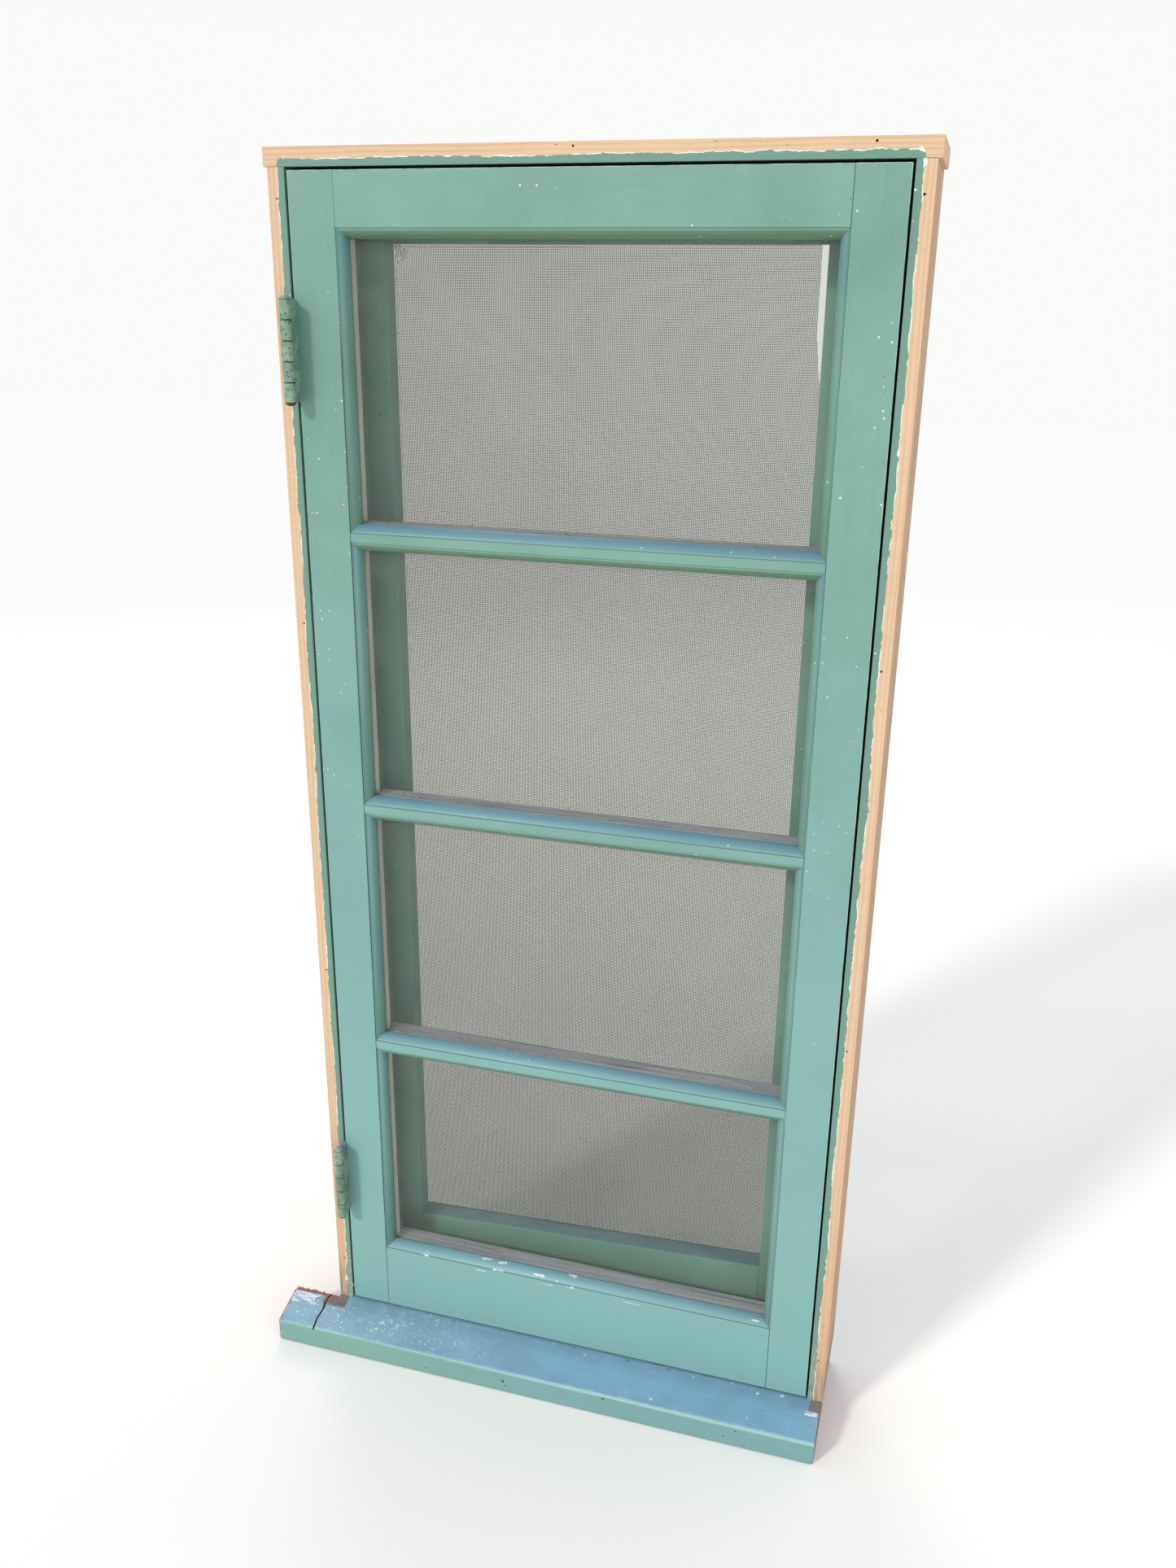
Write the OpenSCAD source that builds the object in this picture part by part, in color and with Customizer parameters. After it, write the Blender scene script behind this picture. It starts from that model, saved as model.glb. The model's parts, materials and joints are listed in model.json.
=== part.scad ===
// Out-swinging timber casement window in its jamb frame, with a sloping sill and an
// in-swinging insect screen. Millimetres. +X right seen from outside, +Y into the building,
// +Z up. The origin is on the sill's flat underside, midway between the side jambs and in
// the plane of the frame's outer face.

/* [Sash] */
// Width of the sash
sash_w = 609.6; // [500:0.1:800]
// Height of the sash
sash_h = 1391; // [1100:1:1700]
// Thickness of the sash
sash_t = 35; // [32:0.5:45]
// Flat width of each stile, up to the moulded edge
stile_w = 50; // [44:0.5:75]
// Flat width of the top rail
top_rail_w = 53; // [44:0.5:90]
// Flat width of the bottom rail
bottom_rail_w = 91.5; // [60:0.5:150]
// Flat width of each glazing bar
muntin_w = 10; // [8:0.5:20]
// Width of the moulded edge
stick_w = 9.4; // [7:0.1:13]
// Depth of the moulded edge, from the outer face to the glass
stick_d = 12.5; // [10:0.1:15]
// Thickness of the glass
glass_t = 3; // [2:0.1:6]
// Clearance round each pane in its rebate
glass_gap = 2; // [1:0.1:4]
// Length of the rail tenons
tenon_l = 38; // [20:1:42]
// Thickness of all the tenons
tenon_t = 10; // [6:0.5:12]
// Radius of the pegs that pin the corner tenons
peg_r = 2.5; // [1.5:0.1:4]

/* [Frame] */
// Gap between sash and side jambs
side_gap = 2.5; // [1.5:0.1:5]
// Gap between sash and head
head_gap = 3; // [1.5:0.1:6]
// Gap between sash and sill
sill_gap = 3; // [1.5:0.1:6]
// Thickness of the side jambs
jamb_t = 19; // [16:0.5:30]
// Thickness of the head
head_t = 18.5; // [16:0.5:30]
// Depth of jambs and head, from outside to inside
frame_d = 120; // [105:1:200]
// Overhang of the head past each side jamb
head_over = 4; // [0:0.5:15]
// Height of the stops above the jamb face
stop_h = 12; // [8:0.5:15]
// Depth of the stops, from outside to inside
stop_d = 25; // [24:0.5:40]
// Gap between the closed sash and the stops
stop_gap = 1.5; // [0.5:0.1:3]
// Radius of the nail holes left by the outer casing
casing_nail_r = 1.2; // [0.8:0.1:2]
// Depth of those nail holes
casing_nail_d = 22; // [10:1:40]

/* [Sill] */
// Projection of the sill in front of the frame
sill_proj = 56; // [35:1:90]
// Height of the sill's front face
nose_h = 32; // [20:1:40]
// Height of the flat seat that the jambs stand on
seat_h = 45; // [42:1:70]
// Length of the horn past the hinge jamb
horn_l = 65; // [20:1:120]
// How far the sawn end stops short of the latch jamb's outer face
sawn_short = 2.5; // [0:0.5:10]
// Radius of the sill's worn front edge
nose_r = 3; // [1:0.5:6]
// Size of the drip groove underneath
drip_w = 6; // [3:0.5:10]
// Width of the split across the horn
split_w = 1.6; // [0.8:0.1:3]
// Depth of that split
split_d = 9; // [3:0.5:15]

/* [Sash hinges] */
// Length of each hinge
leaf_h = 102; // [76:1:127]
// Height of the lower hinge's middle above the sash's bottom edge
low_hinge_z = 196; // [100:1:300]
// Distance of the upper hinge's middle below the sash's top edge
high_hinge_z = 171; // [100:1:300]
// Thickness of the leaves
leaf_t = 2.4; // [1.5:0.1:3]
// Depth that each leaf is let into the wood
let_in = 1.4; // [1.3:0.1:2]
// Width of the leaf inside the joint
leaf_in = 25; // [20:0.5:30]
// Throw of the barrel's centre in front of the sash face
throw = 18; // [12:0.5:30]
// Outer radius of the barrel
barrel_r = 6.4; // [5.5:0.1:8]
// Radius of the hinge pins
pin_r = 3.2; // [2:0.1:4]
// Running clearance round the pins
pin_gap = 0.05; // [0.02:0.01:0.1]

/* [Sash latch] */
// Height of the latch above the sash's bottom edge
latch_z = 640; // [300:1:900]
// Distance of the latch's pivot from the sash's edge
latch_in = 32; // [28:0.5:36]
// Length of the handle
handle_l = 74; // [50:1:100]
// Reach of the tongue from the pivot
tongue_l = 18.5; // [16:0.1:19]
// Radius of the pivot rivet
rivet_r = 4; // [3:0.1:5]

/* [Screen] */
// Thickness of the screen frame
screen_t = 22; // [16:0.5:28]
// Width of the screen's stiles
screen_stile_w = 76; // [40:1:100]
// Width of the screen's top rail
screen_top_w = 66; // [40:1:100]
// Height of the screen's bottom rail on the hinge side
screen_bottom_w = 108; // [60:1:150]
// Rise of the bottom rail's upper edge towards the latch side
screen_rise = 23; // [0:1:40]
// Gap between the screen and the frame
screen_gap = 2; // [1:0.1:4]
// Gap between the screen and the stops
screen_stop_gap = 1; // [0.5:0.1:2]
// Thickness of the woven wire
mesh_t = 0.6; // [0.4:0.1:1.5]
// Width of the beading that holds the wire
beading_w = 19; // [12:0.5:25]
// Thickness of that beading
beading_t = 6; // [4:0.5:10]
// Set-back of the beading from the screen's inner edge
beading_in = 3; // [0:0.5:8]
// Length of the screen's hinges
screen_leaf_h = 51; // [38:1:76]
// Distance of the screen's hinges from its top and bottom
screen_hinge_z = 150; // [80:1:300]
// Radius of the screen's slide bolt
bolt_r = 3; // [2:0.1:4]
// Travel of the slide bolt
bolt_travel = 12; // [8:0.5:14]

/* [Hidden] */
$fn = 48;

// Small overrun of cutting shapes past the faces that they cut
over = 1;
// Hairline left between trim strips where they meet
joint_gap = 0.2;
lights = 4;

// Sash and frame outlines
half_sash = sash_w / 2;
half_open = half_sash + side_gap;
half_frame = half_open + jamb_t;
sash_z = seat_h + sill_gap;
sash_top = sash_z + sash_h;
head_z = sash_top + head_gap;
half_light = half_sash - stile_w;
light_h = (sash_h - top_rail_w - bottom_rail_w - (lights - 1) * muntin_w) / lights;
tenon_y = stick_d + 1;
stop_y = sash_t + stop_gap;
sill_right = half_frame - sawn_short;
sill_left = -half_frame - horn_l;

// Moulded edge: a small step, an ovolo and a square shoulder against the glass
stick_step = 1.4;
stick_fillet = 1.2;
stick_shoulder = 2;
stick_facets = 8;
muntin_tenon_l = 20;
muntin_tenon_h = 8;
rail_shoulder = 12;
peg_in = 10.6;
peg_l = 26;

// Sash hinges
hinge_zs = [sash_z + low_hinge_z, sash_top - high_hinge_z];
pivot_x = -half_sash - side_gap / 2;
pivot_y = -throw;
knuckles = 5;
knuckle_gap = 0.3;
barrel_room = 0.8;
bore_r = pin_r + pin_gap;
leaf_screw_zs = [-0.37, -0.13, 0.13, 0.37];

// Latch
latch_x = half_sash - latch_in;
latch_mid_z = sash_z + latch_z;
plate_w = 21;
plate_h = 72;
plate_t = 2.5;
lever_gap = 0.5;
hub_r = 9;
hub_t = 8;
lip_t = 2.5;
lip_l = 8;
keeper_h = 44;
keeper_t = 2;

// Screen
screen_y = stop_y + stop_d + screen_stop_gap;
screen_back = screen_y + screen_t;
half_screen = half_open - screen_gap;
screen_z = seat_h + screen_gap;
screen_top = head_z - screen_gap;
half_wire = half_screen - screen_stile_w;
wire_top = screen_top - screen_top_w;
wire_low = screen_z + screen_bottom_w;
wire_high = wire_low + screen_rise;
screen_tenon_t = 6;
screen_tenon_l = 45;
small_r = 4;
small_pin_r = 1.9;
small_leaf_t = 1.2;
small_leaf_w = 18;
small_x = -half_open + small_r + 0.2;
small_y = screen_back + small_r + 0.2;
screen_hinge_zs = [screen_z + screen_hinge_z, screen_top - screen_hinge_z];
bolt_z = screen_z + 700;
bolt_y = screen_back + 6.5;
bolt_rest = half_screen - 1;
bolt_bore_r = bolt_r + 0.08;
case_l = 46;
case_w = 18;
case_t = 1.6;
case_x = half_screen - 2 - case_l;
bolt_l = bolt_rest - case_x + 4;
strike_t = 1.2;

paint = "#86b4a8";
bare = "#dfb78c";
grey_wood = "#9a948c";
metal = "#7f9a83";
steel = "#8d8f90";

// ---------- shared shapes ----------

module block(x, y, z) {
    translate([x[0], y[0], z[0]])
        cube([x[1] - x[0], y[1] - y[0], z[1] - z[0]]);
}

module both_sides() {
    children();
    mirror([1, 0, 0]) children();
}

// Countersunk screw, head at the origin and shank along +Z
module screw(head_r, shank_r, length) {
    cylinder(h = head_r - shank_r, r1 = head_r, r2 = shank_r);
    cylinder(h = length, r = shank_r);
}

module slotted_screw(head_r, shank_r, length) {
    difference() {
        screw(head_r, shank_r, length);
        translate([-head_r - over, -0.35, -over])
            cube([2 * head_r + 2 * over, 0.7, over + 0.8]);
    }
}

// Nail with a flat head, head at the origin and shank along +Z
module nail(head_r, shank_r, length) {
    cylinder(h = 1.2, r = head_r);
    cylinder(h = length, r = shank_r);
}

// ---------- moulded sash parts ----------

function ovolo_point(a) = [
    stick_fillet + (stick_w - stick_fillet) * sin(a),
    stick_d - stick_shoulder - (stick_d - stick_shoulder - stick_step) * cos(a)
];

module stick_profile() {
    polygon(concat(
        [[-0.01, stick_d], [-0.01, stick_step]],
        [for (i = [0:stick_facets]) ovolo_point(90 * i / stick_facets)],
        [[stick_w, stick_d]]
    ));
}

// One run of moulded edge along +Z, growing towards +X, mitred at both ends
module stick_end_cut() {
    reach = stick_w + over;
    translate([0, stick_d + over, 0])
        rotate([90, 0, 0])
            linear_extrude(stick_d + 2 * over)
                polygon([[-over, -over], [reach, -over], [reach, reach], [0, 0], [-over, 0]]);
}

module stick_run(length) {
    difference() {
        linear_extrude(length) stick_profile();
        stick_end_cut();
        translate([0, 0, length]) mirror([0, 0, 1]) stick_end_cut();
    }
}

// Runs along X above and below a rail or bar
module stick_above(z) {
    translate([half_light, 0, z]) rotate([0, -90, 0]) stick_run(2 * half_light);
}

module stick_below(z) {
    translate([-half_light, 0, z]) rotate([0, 90, 0]) stick_run(2 * half_light);
}

function light_z(k) = sash_top - top_rail_w - k * light_h - (k - 1) * muntin_w;

// Tenons, drawn once and used for the tongue and for its mortise
module rail_tenons(z0, z1) {
    both_sides()
        block([half_light, half_light + tenon_l], [tenon_y, tenon_y + tenon_t], [z0, z1]);
}

module top_tenons() {
    rail_tenons(sash_top - top_rail_w + 2, sash_top - rail_shoulder);
}

module bottom_tenons() {
    rail_tenons(sash_z + rail_shoulder, sash_z + bottom_rail_w - 2);
}

module muntin_tenons(k) {
    mid = light_z(k) - muntin_w / 2;
    both_sides()
        block([half_light, half_light + muntin_tenon_l], [tenon_y, tenon_y + tenon_t],
            [mid - muntin_tenon_h / 2, mid + muntin_tenon_h / 2]);
}

module peg_shapes() {
    for (z = [sash_z + bottom_rail_w / 2, sash_top - top_rail_w / 2])
        both_sides()
            translate([half_light + peg_in, 0, z])
                rotate([-90, 0, 0]) cylinder(h = peg_l, r = peg_r);
}

module plain_stile() {
    difference() {
        union() {
            block([half_light, half_sash], [0, sash_t], [sash_z, sash_top]);
            for (k = [1:lights])
                translate([half_light, 0, light_z(k)])
                    mirror([1, 0, 0]) stick_run(light_h);
        }
        top_tenons();
        bottom_tenons();
        for (k = [1:lights - 1]) muntin_tenons(k);
        peg_shapes();
    }
}

module hinge_stile() {
    color(paint)
    difference() {
        mirror([1, 0, 0]) plain_stile();
        for (z = hinge_zs)
            block([-half_sash - over, -half_sash + let_in], [-over, leaf_in],
                [z - leaf_h / 2, z + leaf_h / 2]);
        sash_screw_shapes();
        brad_shapes();
    }
}

module latch_stile() {
    color(paint)
    difference() {
        plain_stile();
        latch_screw_shapes();
        brad_shapes();
    }
}

module top_rail() {
    color(paint)
    difference() {
        union() {
            block([-half_light, half_light], [0, sash_t], [sash_top - top_rail_w, sash_top]);
            stick_below(sash_top - top_rail_w);
            top_tenons();
        }
        peg_shapes();
        brad_shapes();
    }
}

module bottom_rail() {
    color(paint)
    difference() {
        union() {
            block([-half_light, half_light], [0, sash_t], [sash_z, sash_z + bottom_rail_w]);
            stick_above(sash_z + bottom_rail_w);
            bottom_tenons();
        }
        peg_shapes();
        brad_shapes();
    }
}

module muntin(k) {
    low = light_z(k) - muntin_w;
    color(paint)
    difference() {
        union() {
            block([-half_light, half_light], [0, sash_t], [low, low + muntin_w]);
            stick_above(low + muntin_w);
            stick_below(low);
            muntin_tenons(k);
        }
        brad_shapes();
    }
}

module corner_pegs() {
    color(bare) peg_shapes();
}

module pane(k) {
    color("#b9d3cf", 0.35)
        block([-half_light + glass_gap, half_light - glass_gap], [stick_d, stick_d + glass_t],
            [light_z(k) + glass_gap, light_z(k) + light_h - glass_gap]);
}

// Four strips that hold a pane from inside
module glazing_beads(k) {
    bead_y = [stick_d + glass_t, sash_t];
    z0 = light_z(k);
    z1 = z0 + light_h;
    color(grey_wood)
    difference() {
        union() {
            block([-half_light, half_light], bead_y, [z0, z0 + stick_w]);
            block([-half_light, half_light], bead_y, [z1 - stick_w, z1]);
            both_sides()
                block([half_light - stick_w, half_light], bead_y,
                    [z0 + stick_w + joint_gap, z1 - stick_w - joint_gap]);
        }
        brad_shapes();
    }
}

// Brads through the glazing beads, two to a strip
module brad_shapes() {
    mid_y = (stick_d + glass_t + sash_t) / 2;
    for (k = [1:lights]) {
        z0 = light_z(k);
        for (x = [-0.6, 0.6] * half_light) {
            translate([x, mid_y, z0 + stick_w]) mirror([0, 0, 1]) nail(1.1, 0.7, stick_w + 3.4);
            translate([x + 6, mid_y, z0 + light_h - stick_w]) nail(1.1, 0.7, stick_w + 3.4);
        }
        for (z = [0.25, 0.75] * light_h)
            both_sides()
                translate([half_light - stick_w, mid_y, z0 + z])
                    rotate([0, 90, 0]) nail(1.1, 0.7, stick_w + 12);
    }
}

module bead_brads() {
    color(steel) brad_shapes();
}

// ---------- jamb frame ----------

// Nail holes along the outer edges: four on each jamb and two on the head
casing_x = half_open + jamb_t / 2;
casing_zs = [sash_z + 60, sash_z + 495, sash_z + 930, sash_z + 1365];
casing_head_xs = [-7, 272];

module casing_holes() {
    for (z = casing_zs)
        both_sides()
            translate([casing_x, -over, z])
                rotate([-90, 0, 0]) cylinder(h = casing_nail_d + over, r = casing_nail_r);
    for (x = casing_head_xs)
        translate([x, -over, head_z + head_t * 0.78])
            rotate([-90, 0, 0]) cylinder(h = casing_nail_d + over, r = casing_nail_r);
}

// Nails down through the head and up through the sill into the side jambs
module frame_nail_shapes() {
    mid_x = half_open + jamb_t / 2;
    for (y = [0.25, 0.75] * frame_d)
        both_sides() {
            translate([mid_x, y, head_z + head_t]) mirror([0, 0, 1]) nail(3, 1.6, 60);
            translate([mid_x, y, 0]) nail(3, 1.6, seat_h + 30);
        }
}

module frame_nails() {
    color(steel) frame_nail_shapes();
}

module head_jamb() {
    reach = half_frame + head_over;
    color(bare)
    difference() {
        block([-reach, reach], [0, frame_d], [head_z, head_z + head_t]);
        casing_holes();
        frame_nail_shapes();
        stop_brad_shapes();
    }
}

module plain_jamb() {
    block([half_open, half_frame], [0, frame_d], [seat_h, head_z]);
}

module hinge_jamb() {
    color(bare)
    difference() {
        mirror([1, 0, 0]) plain_jamb();
        for (z = hinge_zs)
            block([-half_open - let_in, -half_open + over], [-over, leaf_in],
                [z - leaf_h / 2, z + leaf_h / 2]);
        jamb_screw_shapes();
        casing_holes();
        frame_nail_shapes();
        stop_brad_shapes();
        screen_jamb_screw_shapes();
    }
}

module latch_jamb() {
    color(bare)
    difference() {
        plain_jamb();
        casing_holes();
        frame_nail_shapes();
        stop_brad_shapes();
        strike_plate_shape();
        strike_screw_shapes();
        bolt_hole();
    }
}

// Section of the sill: flat underside, vertical nose, weathered slope and flat seat
sill_slope = atan((seat_h - nose_h) / sill_proj);
nose_mid_z = seat_h - (nose_r + (sill_proj - nose_r) * sin(sill_slope)) / cos(sill_slope);

module sill_section(back) {
    difference() {
        polygon(concat(
            [[-sill_proj, 0]],
            [for (i = [0:6])
                let (a = 180 - (90 - sill_slope) * i / 6)
                [-sill_proj + nose_r + nose_r * cos(a), nose_mid_z + nose_r * sin(a)]],
            [[0, seat_h], [back, seat_h], [back, 0]]
        ));
        translate([-sill_proj + 12, -over]) square([drip_w, drip_w + over]);
    }
}

module sill_length(from, to, back) {
    translate([from, 0, 0]) rotate([90, 0, 90]) linear_extrude(to - from) sill_section(back);
}

// Split that wanders across the horn from its back edge to the nose
split_x = -half_frame - min(14, horn_l / 2);
split_path = [[1, over], [-1, -16], [0.5, -27], [-1.5, -40], [0.5, -sill_proj - over]];

module split_cut() {
    translate([split_x, 0, nose_h - split_d])
        linear_extrude(seat_h)
            polygon(concat(
                [for (p = split_path) [p[0] - split_w / 2, p[1]]],
                [for (i = [len(split_path) - 1:-1:0])
                    [split_path[i][0] + split_w / 2, split_path[i][1]]]
            ));
}

module sill() {
    color(paint)
    difference() {
        union() {
            sill_length(-half_frame, sill_right, frame_d);
            sill_length(sill_left, -half_frame, 0.01);
        }
        split_cut();
        frame_nail_shapes();
        stop_brad_shapes();
    }
}

// Stops: upright ones between the sill stop and the head stop
module stop_brad_shapes() {
    mid_y = stop_y + stop_d / 2;
    for (z = [0.12, 0.5, 0.88] * (head_z - seat_h))
        both_sides()
            translate([half_open - stop_h, mid_y, seat_h + z])
                rotate([0, 90, 0]) nail(1.3, 0.9, stop_h + 16);
    for (x = [-0.8, 0, 0.8] * half_open) {
        translate([x, mid_y, seat_h + stop_h]) mirror([0, 0, 1]) nail(1.3, 0.9, stop_h + 16);
        translate([x, mid_y, head_z - stop_h]) nail(1.3, 0.9, stop_h + 16);
    }
}

module stop_brads() {
    color(steel) stop_brad_shapes();
}

module head_stop() {
    color(paint)
    difference() {
        block([-half_open, half_open], [stop_y, stop_y + stop_d], [head_z - stop_h, head_z]);
        stop_brad_shapes();
    }
}

module sill_stop() {
    color(paint)
    difference() {
        block([-half_open, half_open], [stop_y, stop_y + stop_d], [seat_h, seat_h + stop_h]);
        stop_brad_shapes();
    }
}

module plain_stop() {
    block([half_open - stop_h, half_open], [stop_y, stop_y + stop_d],
        [seat_h + stop_h, head_z - stop_h]);
}

module hinge_stop() {
    color(paint)
    difference() {
        mirror([1, 0, 0]) plain_stop();
        stop_brad_shapes();
    }
}

module latch_stop() {
    color(paint)
    difference() {
        plain_stop();
        stop_brad_shapes();
        keeper_screw_shapes();
    }
}

// ---------- sash hinges ----------

knuckle_l = leaf_h / knuckles;

module knuckle(i) {
    translate([0, 0, -leaf_h / 2 + i * knuckle_l + knuckle_gap / 2])
        cylinder(h = knuckle_l - knuckle_gap, r = barrel_r);
}

// Leaf and its knuckles, drawn about the pin: side 1 is the sash, side -1 is the jamb
module sash_hinge_leaf(side, first) {
    far_x = side * (side_gap / 2 + let_in);
    near_x = far_x - side * leaf_t;
    xs = [min(far_x, near_x), max(far_x, near_x)];
    difference() {
        union() {
            for (i = [first:2:knuckles - 1]) {
                knuckle(i);
                block(xs, [bore_r + 0.6, barrel_r + barrel_room + over],
                    [-leaf_h / 2 + i * knuckle_l + knuckle_gap / 2,
                    -leaf_h / 2 + (i + 1) * knuckle_l - knuckle_gap / 2]);
            }
            block(xs, [barrel_r + barrel_room, throw + leaf_in], [-leaf_h / 2, leaf_h / 2]);
        }
        translate([0, 0, -leaf_h / 2 - over]) cylinder(h = leaf_h + 2 * over, r = bore_r);
    }
}

module at_hinges() {
    for (z = hinge_zs)
        translate([pivot_x, pivot_y, z]) children();
}

module at_leaf_screws() {
    for (z = hinge_zs)
        for (i = [0:3])
            translate([0, leaf_in * (i % 2 == 0 ? 0.32 : 0.72), z + leaf_screw_zs[i] * leaf_h])
                children();
}

module sash_screw_shapes() {
    at_leaf_screws()
        translate([-half_sash + let_in - leaf_t, 0, 0])
            rotate([0, 90, 0]) screw(3.8, 2, 26);
}

module jamb_screw_shapes() {
    at_leaf_screws()
        translate([-half_open - let_in + leaf_t, 0, 0])
            rotate([0, -90, 0]) screw(3.8, 2, jamb_t - 2);
}

module sash_hinge_leaves() {
    color(metal)
    difference() {
        at_hinges() sash_hinge_leaf(1, 1);
        sash_screw_shapes();
    }
}

module jamb_hinge_leaves() {
    color(metal)
    difference() {
        at_hinges() sash_hinge_leaf(-1, 0);
        jamb_screw_shapes();
    }
}

module sash_leaf_screws() {
    color(steel)
    at_leaf_screws()
        translate([-half_sash + let_in - leaf_t, 0, 0])
            rotate([0, 90, 0]) slotted_screw(3.8, 2, 26);
}

module jamb_leaf_screws() {
    color(steel)
    at_leaf_screws()
        translate([-half_open - let_in + leaf_t, 0, 0])
            rotate([0, -90, 0]) slotted_screw(3.8, 2, jamb_t - 2);
}

// Pin with a flattened button at each end
module button(r) {
    rotate_extrude()
        polygon(concat([[0, 0], [r, 0]],
            [for (a = [0:15:90]) [r * cos(a), 0.8 + 0.45 * r * sin(a)]]));
}

module hinge_pins() {
    color(metal)
    at_hinges() {
        translate([0, 0, -leaf_h / 2]) cylinder(h = leaf_h, r = pin_r);
        translate([0, 0, leaf_h / 2]) button(barrel_r - 0.6);
        translate([0, 0, -leaf_h / 2]) mirror([0, 0, 1]) button(barrel_r - 0.6);
    }
}

// ---------- sash latch ----------

keeper_x = half_open - stop_h;
lever_y = sash_t + plate_t + lever_gap;
lip_y = lever_y - lever_gap;

module at_latch() {
    translate([latch_x, 0, latch_mid_z]) rotate([-90, 0, 0]) children();
}

module latch_screw_shapes() {
    for (z = [-0.36, 0.36] * plate_h)
        translate([latch_x, sash_t + plate_t, latch_mid_z + z])
            rotate([90, 0, 0]) screw(3.4, 1.7, 20);
    at_latch() translate([0, 0, sash_t - 6]) cylinder(h = 7, r = rivet_r);
}

module latch_base() {
    color(steel)
    difference() {
        block([latch_x - plate_w / 2, latch_x + plate_w / 2], [sash_t, sash_t + plate_t],
            [latch_mid_z - plate_h / 2, latch_mid_z + plate_h / 2]);
        for (z = [-0.36, 0.36] * plate_h)
            translate([latch_x, sash_t + plate_t, latch_mid_z + z])
                rotate([90, 0, 0]) screw(3.4, 1.7, 20);
        at_latch() cylinder(h = sash_t + 20, r = rivet_r);
    }
}

module latch_screws() {
    color(steel)
    for (z = [-0.36, 0.36] * plate_h)
        translate([latch_x, sash_t + plate_t, latch_mid_z + z])
            rotate([90, 0, 0]) slotted_screw(3.4, 1.7, 20);
}

module latch_rivet() {
    color(steel)
    at_latch() {
        translate([0, 0, sash_t - 6]) cylinder(h = lever_y - sash_t + 6 + hub_t + 0.3, r = rivet_r);
        translate([0, 0, lever_y + hub_t + 0.3]) button(rivet_r + 2.5);
    }
}

// Lever with its tongue up and its handle down, which leaves the sash free
module latch_lever() {
    color(steel)
    difference() {
        at_latch() translate([0, 0, lever_y]) {
            cylinder(h = hub_t, r = hub_r);
            translate([-5, -tongue_l, lip_t + 1]) cube([10, tongue_l, 4]);
            linear_extrude(5.5)
                polygon([[-5.5, 0], [5.5, 0], [3.8, handle_l * 0.45], [5.6, handle_l * 0.85],
                    [4, handle_l], [-4, handle_l], [-5.6, handle_l * 0.85],
                    [-3.8, handle_l * 0.45]]);
        }
        at_latch() cylinder(h = sash_t + 40, r = rivet_r + pin_gap);
    }
}

module keeper_screw_shapes() {
    for (z = [-0.36, 0.36] * keeper_h)
        translate([keeper_x - keeper_t, stop_y + stop_d * 0.7, latch_mid_z + z])
            rotate([0, 90, 0]) screw(2.8, 1.4, 12);
}

module latch_keeper() {
    zs = [latch_mid_z - keeper_h / 2, latch_mid_z + keeper_h / 2];
    color(steel)
    difference() {
        union() {
            block([keeper_x - keeper_t, keeper_x], [lip_y, stop_y + stop_d - 2], zs);
            block([keeper_x - lip_l, keeper_x - keeper_t], [lip_y, lip_y + lip_t],
                [latch_mid_z - keeper_h / 4, latch_mid_z + keeper_h / 4]);
        }
        keeper_screw_shapes();
    }
}

module keeper_screws() {
    color(steel)
    for (z = [-0.36, 0.36] * keeper_h)
        translate([keeper_x - keeper_t, stop_y + stop_d * 0.7, latch_mid_z + z])
            rotate([0, 90, 0]) slotted_screw(2.8, 1.4, 12);
}

// ---------- screen ----------

// Height of the bottom rail's upper edge at a place across the screen
function rail_edge(x) = (wire_low + wire_high) / 2 + (wire_high - wire_low) * x / (2 * half_wire);

module screen_tenons() {
    mid_y = screen_y + screen_t / 2;
    ys = [mid_y - screen_tenon_t / 2, mid_y + screen_tenon_t / 2];
    both_sides() {
        block([half_wire, half_wire + screen_tenon_l], ys, [wire_top + 8, screen_top - 12]);
        block([half_wire, half_wire + screen_tenon_l], ys, [screen_z + 12, wire_low - 10]);
    }
}

module plain_screen_stile() {
    difference() {
        block([half_wire, half_screen], [screen_y, screen_back], [screen_z, screen_top]);
        screen_tenons();
    }
}

module screen_hinge_stile() {
    color(paint)
    difference() {
        mirror([1, 0, 0]) plain_screen_stile();
        screen_leaf_screw_shapes();
        beading_brad_shapes();
    }
}

module screen_latch_stile() {
    color(paint)
    difference() {
        plain_screen_stile();
        bolt_screw_shapes();
        beading_brad_shapes();
    }
}

module screen_top_rail() {
    color(paint)
    difference() {
        union() {
            block([-half_wire, half_wire], [screen_y, screen_back], [wire_top, screen_top]);
            intersection() {
                screen_tenons();
                block([-half_open, half_open], [0, frame_d], [wire_top, screen_top]);
            }
        }
        beading_brad_shapes();
    }
}

module screen_bottom_rail() {
    color(paint)
    difference() {
        union() {
            translate([0, screen_back, 0]) rotate([90, 0, 0])
                linear_extrude(screen_t)
                    polygon([[-half_wire, screen_z], [half_wire, screen_z],
                        [half_wire, wire_high], [-half_wire, wire_low]]);
            intersection() {
                screen_tenons();
                block([-half_open, half_open], [0, frame_d], [screen_z, wire_low]);
            }
        }
        beading_brad_shapes();
    }
}

// Corners of the opening, grown outwards by a margin, anticlockwise from bottom left
function opening_corners(m) = [
    [-half_wire - m, rail_edge(-half_wire - m) - m], [half_wire + m, rail_edge(half_wire + m) - m],
    [half_wire + m, wire_top + m], [-half_wire - m, wire_top + m]
];

module screen_mesh() {
    color("#3c4444")
    difference() {
        translate([0, screen_back + mesh_t, 0]) rotate([90, 0, 0])
            linear_extrude(mesh_t) polygon(opening_corners(beading_in + beading_w - 3));
        beading_brad_shapes();
    }
}

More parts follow.
